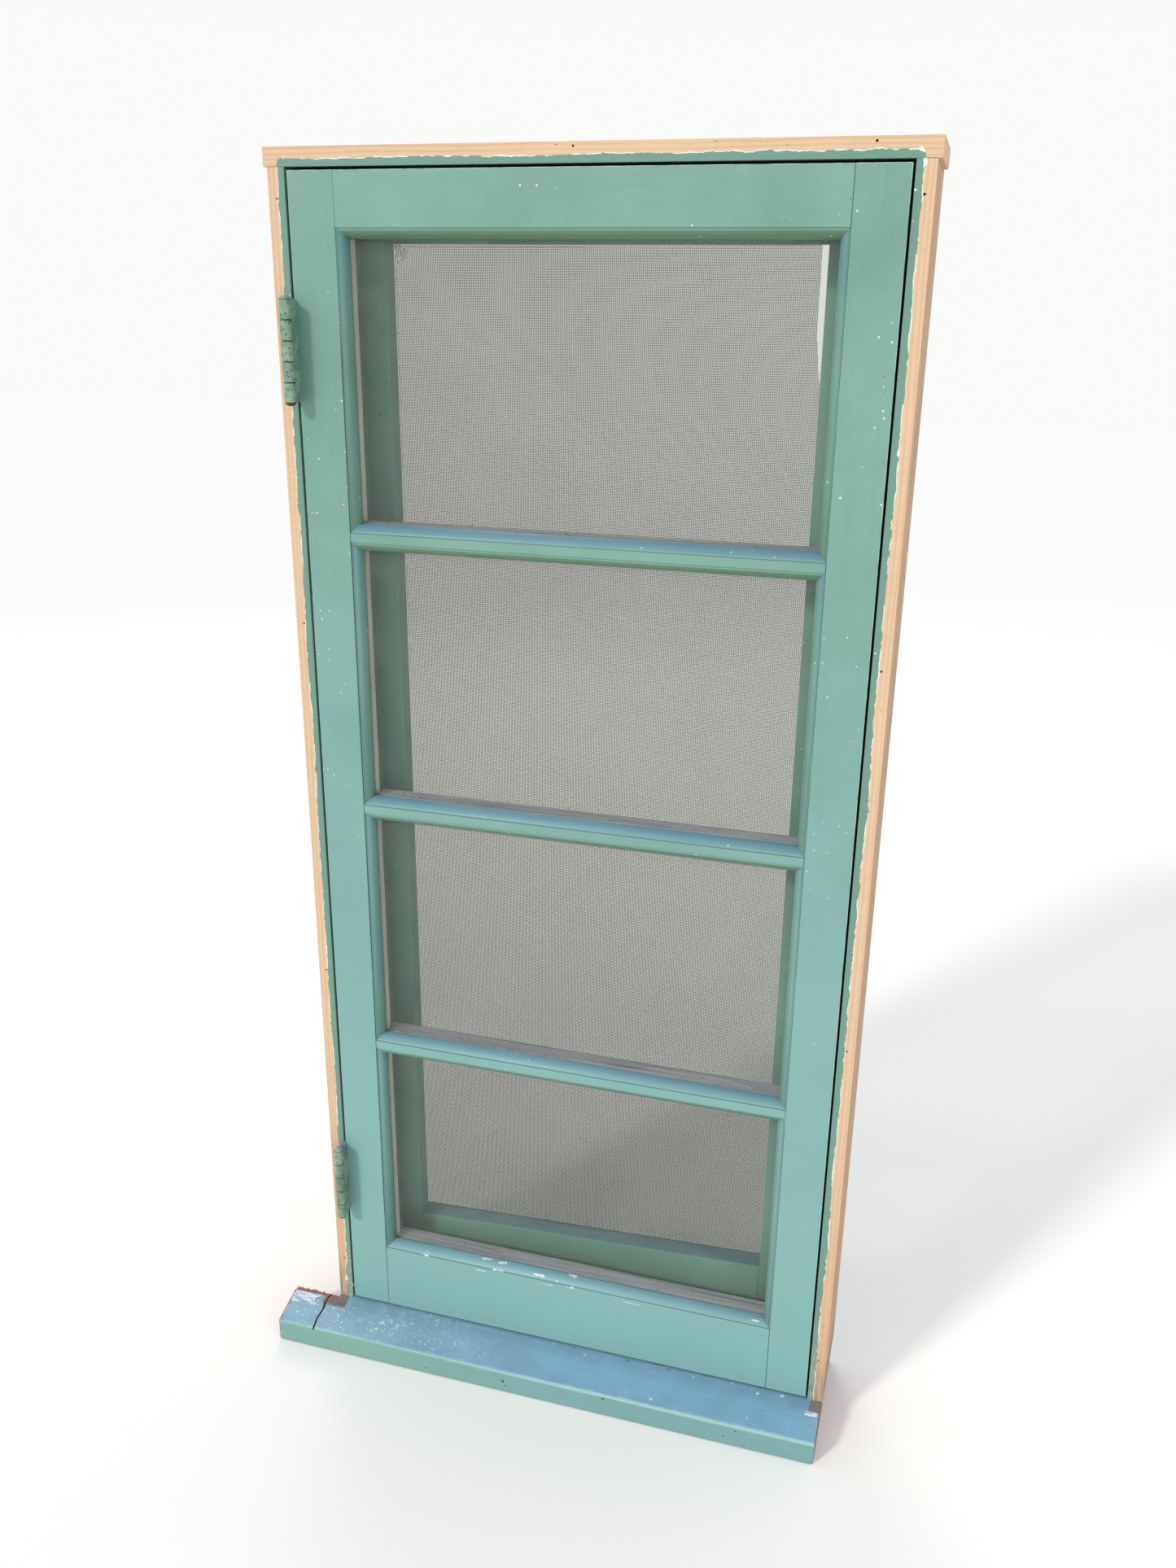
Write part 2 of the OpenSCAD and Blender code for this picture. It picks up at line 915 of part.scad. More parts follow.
module screen_beading() {
    inner = opening_corners(beading_in);
    outer = opening_corners(beading_in + beading_w);
    color(paint)
    difference() {
        for (i = [0:3])
            let (j = (i + 1) % 4)
            translate([0, screen_back + mesh_t + beading_t, 0]) rotate([90, 0, 0])
                linear_extrude(beading_t) polygon([inner[i], inner[j], outer[j], outer[i]]);
        for (i = [0:3]) beading_mitre(inner[i], outer[i]);
        beading_brad_shapes();
    }
}

// Hairline cut from an inner corner to its outer corner
module beading_mitre(a, b) {
    run = b - a;
    side = [-run[1], run[0]] / norm(run) * joint_gap / 2;
    translate([0, screen_back + mesh_t + beading_t + over, 0]) rotate([90, 0, 0])
        linear_extrude(beading_t + 2 * over)
            polygon([a - run - side, b + run - side, b + run + side, a - run + side]);
}

module beading_brad_shapes() {
    m = beading_in + beading_w / 2;
    back = screen_back + mesh_t + beading_t;
    for (k = [0.1:0.2:0.9]) {
        z = wire_high + k * (wire_top - wire_high);
        both_sides()
            translate([half_wire + m, back, z]) rotate([90, 0, 0]) nail(1.2, 0.8, 18);
    }
    for (x = [-0.8, -0.27, 0.27, 0.8] * half_wire) {
        translate([x, back, wire_top + m]) rotate([90, 0, 0]) nail(1.2, 0.8, 18);
        translate([x, back, rail_edge(x) - m]) rotate([90, 0, 0]) nail(1.2, 0.8, 18);
    }
}

module beading_brads() {
    color(steel) beading_brad_shapes();
}

// Small hinges in the corner between the screen's inside face and the hinge jamb
small_knuckle_l = screen_leaf_h / 3;

module at_screen_hinges() {
    for (z = screen_hinge_zs)
        translate([-half_open, small_y, z]) children();
}

module small_knuckle(i) {
    translate([small_x + half_open, 0, -screen_leaf_h / 2 + i * small_knuckle_l + 0.15])
        cylinder(h = small_knuckle_l - 0.3, r = small_r);
}

module small_bore() {
    translate([small_x + half_open, 0, -screen_leaf_h / 2 - over])
        cylinder(h = screen_leaf_h + 2 * over, r = small_pin_r + pin_gap);
}

module screen_jamb_leaves() {
    half_h = screen_leaf_h / 2;
    color(metal)
    difference() {
        at_screen_hinges() difference() {
            union() {
                block([0, small_leaf_t], [small_r + 0.5, small_r + small_leaf_w],
                    [-half_h, half_h]);
                for (i = [0, 2]) {
                    small_knuckle(i);
                    block([0, small_leaf_t], [0, small_r + 1],
                        [-half_h + i * small_knuckle_l + 0.15,
                        -half_h + (i + 1) * small_knuckle_l - 0.15]);
                }
            }
            small_bore();
        }
        screen_jamb_screw_shapes();
    }
}

module screen_leaves() {
    half_h = screen_leaf_h / 2;
    leaf_y = [screen_back - small_y, screen_back - small_y + small_leaf_t];
    root_x = small_x + half_open;
    color(metal)
    difference() {
        at_screen_hinges() difference() {
            union() {
                block([root_x + small_r + 0.5, root_x + small_r + small_leaf_w], leaf_y,
                    [-half_h, half_h]);
                small_knuckle(1);
                block([root_x, root_x + small_r + 1], leaf_y,
                    [-half_h + small_knuckle_l + 0.15, half_h - small_knuckle_l - 0.15]);
            }
            small_bore();
        }
        screen_leaf_screw_shapes();
    }
}

module screen_hinge_pins() {
    color(metal)
    at_screen_hinges() translate([small_x + half_open, 0, 0]) {
        translate([0, 0, -screen_leaf_h / 2]) cylinder(h = screen_leaf_h, r = small_pin_r);
        translate([0, 0, screen_leaf_h / 2]) button(small_r - 0.3);
        translate([0, 0, -screen_leaf_h / 2]) mirror([0, 0, 1]) button(small_r - 0.3);
    }
}

small_screw_in = small_r + small_leaf_w * 0.62;

module screen_jamb_screw_shapes() {
    at_screen_hinges()
        for (z = [-0.3, 0.3] * screen_leaf_h)
            translate([small_leaf_t, small_screw_in, z])
                rotate([0, -90, 0]) screw(2.4, 1.2, 14);
}

module screen_leaf_screw_shapes() {
    at_screen_hinges()
        for (z = [-0.3, 0.3] * screen_leaf_h)
            translate([small_x + half_open + small_screw_in, screen_back - small_y + small_leaf_t,
                z])
                rotate([90, 0, 0]) screw(2.4, 1.2, 14);
}

module screen_jamb_screws() {
    color(steel)
    at_screen_hinges()
        for (z = [-0.3, 0.3] * screen_leaf_h)
            translate([small_leaf_t, small_screw_in, z])
                rotate([0, -90, 0]) slotted_screw(2.4, 1.2, 14);
}

module screen_leaf_screws() {
    color(steel)
    at_screen_hinges()
        for (z = [-0.3, 0.3] * screen_leaf_h)
            translate([small_x + half_open + small_screw_in, screen_back - small_y + small_leaf_t,
                z])
                rotate([90, 0, 0]) slotted_screw(2.4, 1.2, 14);
}

// ---------- slide bolt on the screen ----------

module bolt_bore() {
    translate([case_x - over, bolt_y, bolt_z])
        rotate([0, 90, 0]) cylinder(h = case_l + 2 * over, r = bolt_bore_r);
}

module bolt_screw_spots() {
    for (x = [0.12, 0.88] * case_l)
        for (z = [-0.39, 0.39] * (case_w + 12))
            translate([case_x + x, screen_back + case_t, bolt_z + z]) children();
}

module bolt_screw_shapes() {
    bolt_screw_spots() rotate([90, 0, 0]) screw(2.2, 1.1, 12);
}

module bolt_case() {
    guide_h = bolt_r + 2.2;
    color(steel)
    difference() {
        union() {
            block([case_x, case_x + case_l], [screen_back, screen_back + case_t],
                [bolt_z - case_w / 2 - 6, bolt_z + case_w / 2 + 6]);
            for (x = [0, case_l - 10])
                block([case_x + x, case_x + x + 10], [screen_back, bolt_y + guide_h],
                    [bolt_z - guide_h, bolt_z + guide_h]);
        }
        bolt_bore();
        bolt_screw_shapes();
    }
}

module bolt_screws() {
    color(steel) bolt_screw_spots() rotate([90, 0, 0]) slotted_screw(2.2, 1.1, 12);
}

module slide_bolt() {
    color(steel) {
        translate([bolt_rest - bolt_l, bolt_y, bolt_z])
            rotate([0, 90, 0]) cylinder(h = bolt_l, r = bolt_r);
        translate([case_x + case_l / 2 - bolt_travel / 2, bolt_y, bolt_z])
            rotate([-90, 0, 0]) cylinder(h = 11, r = bolt_r - 0.8);
        translate([case_x + case_l / 2 - bolt_travel / 2, bolt_y + 11, bolt_z])
            rotate([-90, 0, 0]) button(4);
    }
}

module bolt_hole() {
    translate([half_open - over, bolt_y, bolt_z])
        rotate([0, 90, 0]) cylinder(h = bolt_travel + 1 + over, r = bolt_r + 0.6);
}

module strike_plate_shape() {
    block([half_open - over, half_open + strike_t], [bolt_y - 8, bolt_y + 8],
        [bolt_z - 17, bolt_z + 17]);
}

module strike_screw_shapes() {
    for (z = [-11, 11])
        translate([half_open, bolt_y, bolt_z + z]) rotate([0, 90, 0]) screw(2.2, 1.1, 12);
}

module bolt_strike() {
    color(steel)
    difference() {
        block([half_open, half_open + strike_t], [bolt_y - 8, bolt_y + 8],
            [bolt_z - 17, bolt_z + 17]);
        bolt_hole();
        strike_screw_shapes();
    }
}

module strike_screws() {
    color(steel)
    for (z = [-11, 11])
        translate([half_open, bolt_y, bolt_z + z])
            rotate([0, 90, 0]) slotted_screw(2.2, 1.1, 12);
}

head_jamb();
hinge_jamb();
latch_jamb();
sill();
head_stop();
hinge_stop();
latch_stop();
sill_stop();
frame_nails();
stop_brads();
jamb_hinge_leaves();
hinge_pins();
jamb_leaf_screws();
latch_keeper();
keeper_screws();
screen_jamb_leaves();
screen_hinge_pins();
screen_jamb_screws();
bolt_strike();
strike_screws();
hinge_stile();
latch_stile();
top_rail();
bottom_rail();
muntin(1);  // muntin_1
muntin(2);  // muntin_2
muntin(3);  // muntin_3
corner_pegs();
pane(1);  // pane_1
pane(2);  // pane_2
pane(3);  // pane_3
pane(4);  // pane_4
glazing_beads(1);  // glazing_beads_1
glazing_beads(2);  // glazing_beads_2
glazing_beads(3);  // glazing_beads_3
glazing_beads(4);  // glazing_beads_4
bead_brads();
sash_hinge_leaves();
sash_leaf_screws();
latch_base();
latch_screws();
latch_rivet();
latch_lever();
screen_hinge_stile();
screen_latch_stile();
screen_top_rail();
screen_bottom_rail();
screen_mesh();
screen_beading();
beading_brads();
screen_leaves();
screen_leaf_screws();
bolt_case();
bolt_screws();
slide_bolt();
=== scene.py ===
"""Looks of an old out-swinging casement window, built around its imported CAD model.

Metres; +X right seen from outside, +Y into the building, +Z up. The origin is on the sill's
underside, midway between the jambs, in the plane of the frame's outer face.
"""

import json
import math
import random

import bmesh
import bpy
from mathutils import Matrix, Vector, noise

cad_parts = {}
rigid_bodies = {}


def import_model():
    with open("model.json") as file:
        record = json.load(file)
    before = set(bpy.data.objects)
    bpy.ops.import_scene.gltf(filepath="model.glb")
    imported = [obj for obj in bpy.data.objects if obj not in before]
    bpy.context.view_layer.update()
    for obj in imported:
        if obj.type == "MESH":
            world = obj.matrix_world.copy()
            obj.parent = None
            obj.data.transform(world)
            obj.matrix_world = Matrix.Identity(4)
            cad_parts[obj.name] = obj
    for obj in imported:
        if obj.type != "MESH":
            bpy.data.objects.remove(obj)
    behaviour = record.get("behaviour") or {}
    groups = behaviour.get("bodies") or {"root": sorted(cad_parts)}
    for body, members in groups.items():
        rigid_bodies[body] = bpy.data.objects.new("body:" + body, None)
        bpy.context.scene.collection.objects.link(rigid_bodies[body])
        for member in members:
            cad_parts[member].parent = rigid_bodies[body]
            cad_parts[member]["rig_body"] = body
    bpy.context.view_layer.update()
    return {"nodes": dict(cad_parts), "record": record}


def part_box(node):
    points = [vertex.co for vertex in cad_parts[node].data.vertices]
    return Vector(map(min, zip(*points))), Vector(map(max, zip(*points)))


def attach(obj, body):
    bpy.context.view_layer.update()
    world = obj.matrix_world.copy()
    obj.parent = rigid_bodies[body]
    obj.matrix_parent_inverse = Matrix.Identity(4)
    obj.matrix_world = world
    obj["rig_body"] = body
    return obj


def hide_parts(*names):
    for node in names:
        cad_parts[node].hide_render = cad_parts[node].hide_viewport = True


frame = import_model()

MM = 0.001
X, Y, Z = 0, 1, 2

# Places that other pieces line up with, read from the CAD nodes
sash_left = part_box("hinge_stile")[0].x
sash_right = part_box("latch_stile")[1].x
sash_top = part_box("top_rail")[1].z
half_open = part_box("sill_stop")[1].x
half_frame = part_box("latch_jamb")[1].x
seat_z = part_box("hinge_jamb")[0].z
head_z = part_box("head_jamb")[0].z
sill_low, sill_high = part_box("sill")
# The rails' tenons reach this far into the stiles, past the edges of the lights
TENON = 38 * MM
half_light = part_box("top_rail")[1].x - TENON
ledge_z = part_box("bottom_rail")[1].z
slots = {p["node"]: p["material_slot"] for p in frame["record"]["subparts"]}


def srgb(red, green, blue):
    """A display colour, 0 to 255, as the linear colour that shaders take"""
    return tuple(
        c / 12.92 if c <= 0.04045 else ((c + 0.055) / 1.055) ** 2.4
        for c in (red / 255, green / 255, blue / 255)
    ) + (1.0,)


def shade(colour, factor):
    return tuple(min(1.0, c * factor) for c in colour[:3]) + (1.0,)


PAINT = srgb(97, 137, 125)
PAINT_LIGHT = srgb(112, 152, 141)
# Painted sky reflection, mixed into the paint on faces that look up
PAINT_SKY_REFLECTION = srgb(98, 137, 157)
# Painted shade, mixed into the paint on faces that look down
PAINT_UNDERSIDE_SHADE = srgb(104, 133, 100)
PAINT_OLD = srgb(86, 121, 106)
PAINT_FILM = srgb(96, 134, 118)
PAINT_LOW = srgb(119, 165, 164)
SCREEN_GREEN = srgb(112, 161, 150)
SCREEN_LIGHT = srgb(130, 179, 168)
PRIMER = srgb(226, 228, 218)
BARE = srgb(206, 175, 143)
BARE_DARK = srgb(184, 146, 112)
RAW = srgb(150, 112, 88)
GREY_WOOD = srgb(128, 120, 114)
RAW_RED = srgb(140, 98, 86)
BROKEN = srgb(92, 56, 50)
DIRT = srgb(78, 74, 70)


# ---------- materials ----------

class Nodes:
    """A node tree, and short calls that add nodes to it"""

    def __init__(self, tree):
        self.tree = tree

    def add(self, kind, values, **settings):
        node = self.tree.nodes.new("ShaderNode" + kind)
        for name, value in settings.items():
            setattr(node, name, value)
        for key, value in values.items():
            self.put(node.inputs[key], value)
        return node

    def put(self, socket, value):
        if isinstance(value, bpy.types.NodeSocket):
            self.tree.links.new(value, socket)
        else:
            socket.default_value = value

    def math(self, operation, a, b=0.0, c=0.0):
        node = self.add("Math", {0: a, 1: b, 2: c}, operation=operation)
        return node.outputs[0]

    def both(self, a, b):
        return self.math("MULTIPLY", a, b)

    def either(self, a, b):
        return self.math("MAXIMUM", a, b)

    def without(self, a, b):
        return self.both(a, self.math("SUBTRACT", 1.0, b))

    def rise(self, value, low, high, top=1.0):
        """0 below low, top above high, smooth between"""
        values = {0: value, 1: low, 2: high, 3: 0.0, 4: top}
        node = self.add("MapRange", values, interpolation_type="SMOOTHSTEP")
        return node.outputs[0]

    def near(self, value, centre, reach):
        """1 where value is at centre, 0 a reach away from it"""
        off = self.math("ABSOLUTE", self.math("SUBTRACT", value, centre))
        return self.rise(off, reach, reach * 0.4)

    def mix(self, share, a, b):
        node = self.add("Mix", {0: share, 6: a, 7: b}, data_type="RGBA")
        return node.outputs[2]


class Shader(Nodes):
    """A material with one Principled shader, and the patterns that its colours are made from"""

    def __init__(self, name, roughness=0.5, metallic=0.0):
        self.material = bpy.data.materials.new(name)
        self.material.use_nodes = True
        super().__init__(self.material.node_tree)
        self.surface = self.tree.nodes["Principled BSDF"]
        self.put(self.surface.inputs["Roughness"], roughness)
        self.put(self.surface.inputs["Metallic"], metallic)
        place = self.add("TexCoord", {}).outputs
        self.place = place["Object"]
        self.xyz = self.add("SeparateXYZ", {0: self.place}).outputs
        self.facing = self.add("SeparateXYZ", {0: place["Normal"]}).outputs

    def stretched(self, stretch, shift):
        values = {"Vector": self.place, "Scale": stretch, "Location": (shift, shift, shift)}
        return self.add("Mapping", values).outputs[0]

    def noise(self, stretch, detail=3.0, rough=0.5, shift=0.0):
        """Cloudy pattern; stretch is how fine it is, in features per metre, one or three values"""
        if not hasattr(stretch, "__len__"):
            stretch = (stretch,) * 3
        values = {"Vector": self.stretched(stretch, shift), "Scale": 1.0, "Detail": detail,
                  "Roughness": rough}
        return self.add("TexNoise", values).outputs[0]

    def cells(self, stretch, shift):
        """Distance to the nearest of scattered points, in cells"""
        values = {"Vector": self.stretched(stretch, shift), "Scale": 1.0}
        return self.add("TexVoronoi", values).outputs["Distance"]

    def spots(self, per_metre, size, shift, stretch=(1, 1, 1), ragged=0.25):
        """Scattered irregular flecks; size is a share of their spacing"""
        near = self.cells([per_metre * s for s in stretch], shift)
        wobble = self.noise(per_metre * 3.1, 2.0, 0.6, shift)
        near = self.math("MULTIPLY_ADD", wobble, ragged, near)
        return self.rise(near, size + ragged / 2, size + ragged / 2 - 0.05)

    def attribute(self, name):
        return self.add("Attribute", {}, attribute_name=name).outputs["Fac"]

    def finish(self, colour, roughness=None, height=None, depth=0.2):
        """Joins the sockets up; depth is the height's range in millimetres"""
        self.put(self.surface.inputs["Base Color"], colour)
        if roughness is not None:
            self.put(self.surface.inputs["Roughness"], roughness)
        if height is not None:
            bump = self.add("Bump", {"Strength": 1.0, "Distance": depth * MM, "Height": height})
            self.put(self.surface.inputs["Normal"], bump.outputs[0])
        return self.material


def stretch_along(axis, along, across):
    stretch = [across] * 3
    stretch[axis] = along
    return stretch


def paint_layer(s, axis, shift, base=PAINT, light=PAINT_LIGHT):
    """Brushed, faded paint whose strokes run along an axis, with a painted sky reflection on faces
    that look up and painted shade on faces that look down: colour, roughness and height
    """
    patches = s.noise(4.5, 5.0, 0.6, shift)
    colour = s.mix(s.rise(patches, 0.32, 0.68), base, light)
    strokes = s.noise(stretch_along(axis, 5.0, 260.0), 4.0, 0.65, shift)
    colour = s.mix(s.rise(strokes, 0.45, 0.85, 0.22), colour, shade(light, 1.12))
    colour = s.mix(s.rise(strokes, 0.5, 0.15, 0.25), colour, shade(base, 0.82))
    smudge = s.noise(38.0, 6.0, 0.7, shift + 3.0)
    colour = s.mix(s.rise(smudge, 0.62, 0.78, 0.3), colour, shade(base, 0.66))
    # Painted sky reflection on faces that look up
    colour = s.mix(s.rise(s.facing[Z], 0.12, 0.75, 0.85), colour, PAINT_SKY_REFLECTION)
    # Painted shade on faces that look down
    colour = s.mix(s.rise(s.facing[Z], -0.12, -0.75, 0.75), colour, PAINT_UNDERSIDE_SHADE)
    specks = s.both(s.spots(95.0, 0.11, shift), s.rise(s.noise(9.0, 2.0, 0.5, shift), 0.52, 0.6))
    colour = s.mix(s.both(specks, 0.75), colour, PRIMER)
    pits = s.both(s.spots(70.0, 0.085, shift + 7.0), s.rise(s.noise(7.0, 2, 0.5, 5.0), 0.55, 0.6))
    colour = s.mix(s.both(pits, 0.7), colour, shade(DIRT, 0.8))
    roughness = s.rise(s.noise(30.0, 4.0, 0.6, shift), 0.2, 0.8)
    roughness = s.math("MULTIPLY_ADD", roughness, 0.2, 0.36)
    height = s.math("MULTIPLY_ADD", strokes, 0.7, s.noise(420.0, 2.0, 0.5, shift))
    height = s.math("MULTIPLY_ADD", specks, 0.5, height)
    return colour, roughness, height


def growth_rings(s, axis, shift, heart):
    """Rings round a heart line that runs along an axis: rises to 1 at each ring's dark edge"""
    place = [-c for c in heart]
    place[axis] = shift
    values = {"Vector": s.place, "Scale": stretch_along(axis, 0.15, 1.0), "Location": place}
    values = {"Vector": s.add("Mapping", values).outputs[0], "Scale": 80.0, "Distortion": 7.0,
              "Detail": 3.0, "Detail Scale": 0.25, "Detail Roughness": 0.6}
    rings = s.add("TexWave", values, wave_type="RINGS", rings_direction="XYZ"[axis],
                  wave_profile="SAW")
    return rings.outputs["Fac"]


def wood_layer(s, axis, shift, base=BARE, dark=BARE_DARK, heart=(0.0, 0.06, -0.12)):
    """Bare softwood whose grain runs along an axis: colour and height"""
    bend = s.noise(6.0, 2.0, 0.5, shift)
    rings = growth_rings(s, axis, shift, heart)
    fibres = s.noise(stretch_along(axis, 22.0, 1500.0), 3.0, 0.7, shift)
    colour = s.mix(s.rise(rings, 0.45, 0.95, 0.5), base, dark)
    colour = s.mix(s.rise(fibres, 0.5, 0.9, 0.35), colour, shade(dark, 0.7))
    ribs = s.noise(stretch_along(axis, 460.0, 14.0), 2.0, 0.5, shift)
    colour = s.mix(s.rise(ribs, 0.45, 0.7, 0.08), colour, shade(dark, 0.8))
    colour = s.mix(s.rise(bend, 0.45, 0.7, 0.3), colour, shade(base, 1.12))
    flecks = s.spots(120.0, 0.1, shift, stretch_along(axis, 0.35, 1.0))
    colour = s.mix(s.both(flecks, s.rise(bend, 0.4, 0.6, 0.55)), colour, shade(RAW, 0.6))
    height = s.math("MULTIPLY_ADD", rings, 0.5, s.both(fibres, 0.8))
    height = s.math("MULTIPLY_ADD", ribs, 0.5, height)
    return colour, height


def knots(s, across):
    """Round knots on the faces that an axis crosses"""
    centres = s.cells(stretch_along(across, 0.4, 7.0), 1.7)
    ragged = s.noise(120.0, 3.0, 0.6)
    near = s.math("MULTIPLY_ADD", ragged, 0.05, centres)
    kept = s.rise(s.noise(2.6, 1.0, 0.5, 6.0), 0.5, 0.53)
    return s.both(s.rise(near, 0.1, 0.07), kept)


def edge_glint(s, planes):
    """1 along the arrises that lie in the given planes, for a painted highlight, broken up as a
    worn edge is
    """
    mask = None
    for axis, place in planes:
        line = s.near(s.xyz[axis], place, 0.6 * MM)
        mask = line if mask is None else s.either(mask, line)
    return s.both(mask, s.rise(s.noise(55.0, 4.0, 0.7), 0.36, 0.56))


def sash_paint(name, axis, shift=0.0):
    """The sash's green: paler low down, flecked on the lowest ledge, with joints, a painted sky
    reflection low down, a painted shadow in the moulding's step and painted highlights along worn
    outer edges
    """
    s = Shader(name)
    colour, roughness, height = paint_layer(s, axis, shift)
    level = s.both(s.math("ABSOLUTE", s.facing[Y]), 0.8)
    colour = s.mix(s.both(s.rise(s.xyz[Z], 1.3, 0.15), level), colour, PAINT_LOW)
    # Painted sky reflection, paler, on low faces that look up
    low_sky_reflection = s.both(s.rise(s.xyz[Z], 0.6, 0.15), s.rise(s.facing[Z], 0.12, 0.75, 0.6))
    colour = s.mix(low_sky_reflection, colour, srgb(120, 164, 170))
    # Painted shadow in the moulding's step, on its faces that look up
    step_shadow = s.both(s.near(s.xyz[Y], 0.75 * MM, 0.85 * MM), s.rise(s.facing[Z], 0.3, 0.8, 0.7))
    colour = s.mix(step_shadow, colour, shade(PAINT_OLD, 0.5))
    across = s.math("ABSOLUTE", s.xyz[X])
    ledge = s.near(s.xyz[Z], ledge_z - 6 * MM, 12 * MM)
    ledge = s.both(ledge, s.rise(across, half_light, half_light - 20 * MM))
    streaks = s.both(s.spots(70.0, 0.2, 5.0, (0.4, 1, 2.4), 0.6), ledge)
    streaks = s.both(streaks, s.rise(s.noise(13.0, 2.0, 0.5, 3.0), 0.5, 0.55))
    colour = s.mix(s.both(streaks, 0.8), colour, PRIMER)
    joint = s.near(across, half_light, 0.7 * MM)
    joint = s.both(joint, s.rise(s.noise(18.0, 3.0, 0.6), 0.3, 0.45))
    filled = s.both(s.rise(s.xyz[Z], 1.25, 1.3, 0.9), s.rise(s.xyz[X], 0.1, -0.1))
    joint = s.without(joint, filled)
    colour = s.mix(s.both(joint, 0.7), colour, shade(PAINT_OLD, 0.35))
    # Painted highlight in primer white along the sash's outer arrises, broken up like worn paint
    planes = [(X, sash_left), (X, sash_right), (Z, sash_top)]
    front = s.rise(s.xyz[Y], 1.2 * MM, 0.6 * MM)
    colour = s.mix(s.both(s.both(edge_glint(s, planes), front), 0.7), colour, PRIMER)
    return s.finish(colour, roughness, height, 0.12)


def frame_paint(name, axis, shift, base, light):
    """Paint of the screen, the stops and the films, greyer at the foot of the outer face"""
    s = Shader(name)
    colour, roughness, height = paint_layer(s, axis, shift, base, light)
    foot = s.both(s.rise(s.xyz[Z], seat_z + 0.14, seat_z + 0.01),
                  s.rise(s.xyz[Y], 2 * MM, 1 * MM))
    colour = s.mix(s.both(foot, s.rise(s.noise(60.0, 4.0, 0.7), 0.3, 0.6)), colour,
                   srgb(138, 148, 132))
    return s.finish(colour, roughness, height, 0.15)


def jamb_wood(node, axis, inward):
    """A bare board with paint on its inner face; inward is that face's normal: (axis, sign)"""
    s = Shader(node + "_wood", 0.8)
    heart = [(a + b) / 2 for a, b in zip(*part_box(node))]
    heart[inward[0]] += inward[1] * 80 * MM
    wood, grain = wood_layer(s, axis, 2.0, heart=heart)
    raw, _ = wood_layer(s, axis, 2.0, RAW, shade(RAW, 0.6), heart)
    grime = s.rise(s.noise(stretch_along(axis, 7.0, 24.0), 6.0, 0.7), 0.35, 0.7)
    wood = s.mix(s.both(s.rise(s.facing[Y], 0.3, 0.8), 0.75), wood, raw)
    outer = s.rise(s.both(s.facing[inward[0]], -inward[1]), 0.3, 0.8)
    wood = s.mix(s.both(outer, s.math("MULTIPLY_ADD", grime, 0.3, 0.35)), wood, raw)
    wood = s.mix(s.both(s.both(outer, knots(s, inward[0])), 0.8), wood, srgb(96, 62, 44))
    wood = s.mix(s.rise(s.xyz[Z], 0.5, 0.1, 0.4), wood, srgb(184, 138, 106))
    low = s.rise(s.xyz[Z], seat_z + 0.08, seat_z + 0.005)
    stain = s.both(low, s.rise(s.noise(stretch_along(axis, 12.0, 90.0), 5.0, 0.7), 0.34, 0.56))
    wood = s.mix(s.both(stain, 0.8), wood, shade(GREY_WOOD, 0.8))
    paint, roughness, height = paint_layer(s, axis, 4.0, PAINT_OLD, PAINT)
    inner = s.rise(s.both(s.facing[inward[0]], inward[1]), 0.45, 0.7)
    across = s.math("ABSOLUTE", s.xyz[X])
    inner = s.both(inner, s.rise(across, half_frame, half_frame - 1 * MM))
    colour = s.mix(inner, wood, paint)
    roughness = s.math("MULTIPLY_ADD", inner, -0.35, 0.82)
    return s.finish(colour, roughness, s.math("ADD", grain, height), 0.2)


def primer_paint():
    s = Shader("chalky_primer", 0.85)
    tone = s.noise(140.0, 4.0, 0.6)
    colour = s.mix(s.rise(tone, 0.35, 0.7), shade(PRIMER, 0.8), shade(PRIMER, 1.06))
    return s.finish(colour, None, s.noise(700.0, 3.0, 0.6), 0.15)


def sill_coat(s, top):
    """The sill's paint: sky-lit on top, greyer by the sash where its shade is painted on, smudged
    in front
    """
    colour, roughness, height = paint_layer(s, X, 11.0)
    lit = s.mix(s.rise(s.xyz[X], 0.1, -0.3), srgb(118, 164, 190), srgb(130, 165, 184))
    colour = s.mix(s.both(top, 0.85), colour, lit)
    blotch_and_sash_shade = s.rise(s.noise(16.0, 5.0, 0.65, 4.0), 0.35, 0.7)
    # Painted shade of the sash on the sill's top beside it, with darker blotches at random
    sash_shade = s.rise(s.xyz[Y], -26 * MM, -6 * MM)
    blotch_and_sash_shade = s.math("MULTIPLY_ADD", blotch_and_sash_shade, 0.35, s.both(sash_shade, 0.4))
    colour = s.mix(s.both(top, blotch_and_sash_shade), colour, srgb(92, 126, 142))
    front = s.rise(s.facing[Y], -0.6, -0.85, 0.7)
    fronts = s.mix(s.rise(s.xyz[X], 0.0, -0.3), srgb(108, 152, 158), srgb(117, 158, 150))
    colour = s.mix(front, colour, fronts)
    smudge = s.rise(s.noise((14.0, 60.0, 60.0), 6.0, 0.7, 2.0), 0.5, 0.72, 0.4)
    colour = s.mix(s.both(front, smudge), colour, srgb(104, 134, 116))
    return colour, roughness, height


def sill_chips(s, top, flecked):
    """Where pale flecks and splashes lie: thick on the left, a few everywhere on top"""
    chips = s.both(s.spots(150.0, 0.2, 2.0, ragged=0.5), s.rise(flecked, 0.15, 0.6))
    small = s.both(s.spots(330.0, 0.16, 6.0, ragged=0.4), s.rise(flecked, 0.1, 0.9))
    splashes = s.spots(52.0, 0.2, 3.0, (1, 1.4, 1), 0.75)
    splashes = s.both(splashes, s.rise(flecked, 0.75, 0.95))
    sparse = s.both(s.spots(46.0, 0.1, 9.0, ragged=0.45), s.rise(s.noise(8.0), 0.45, 0.55, 0.9))
    chips = s.either(s.either(chips, small), s.either(splashes, s.both(sparse, top)))
    return s.both(chips, s.rise(s.noise(420.0, 3.0, 0.6, 8.0), 0.4, 0.52))


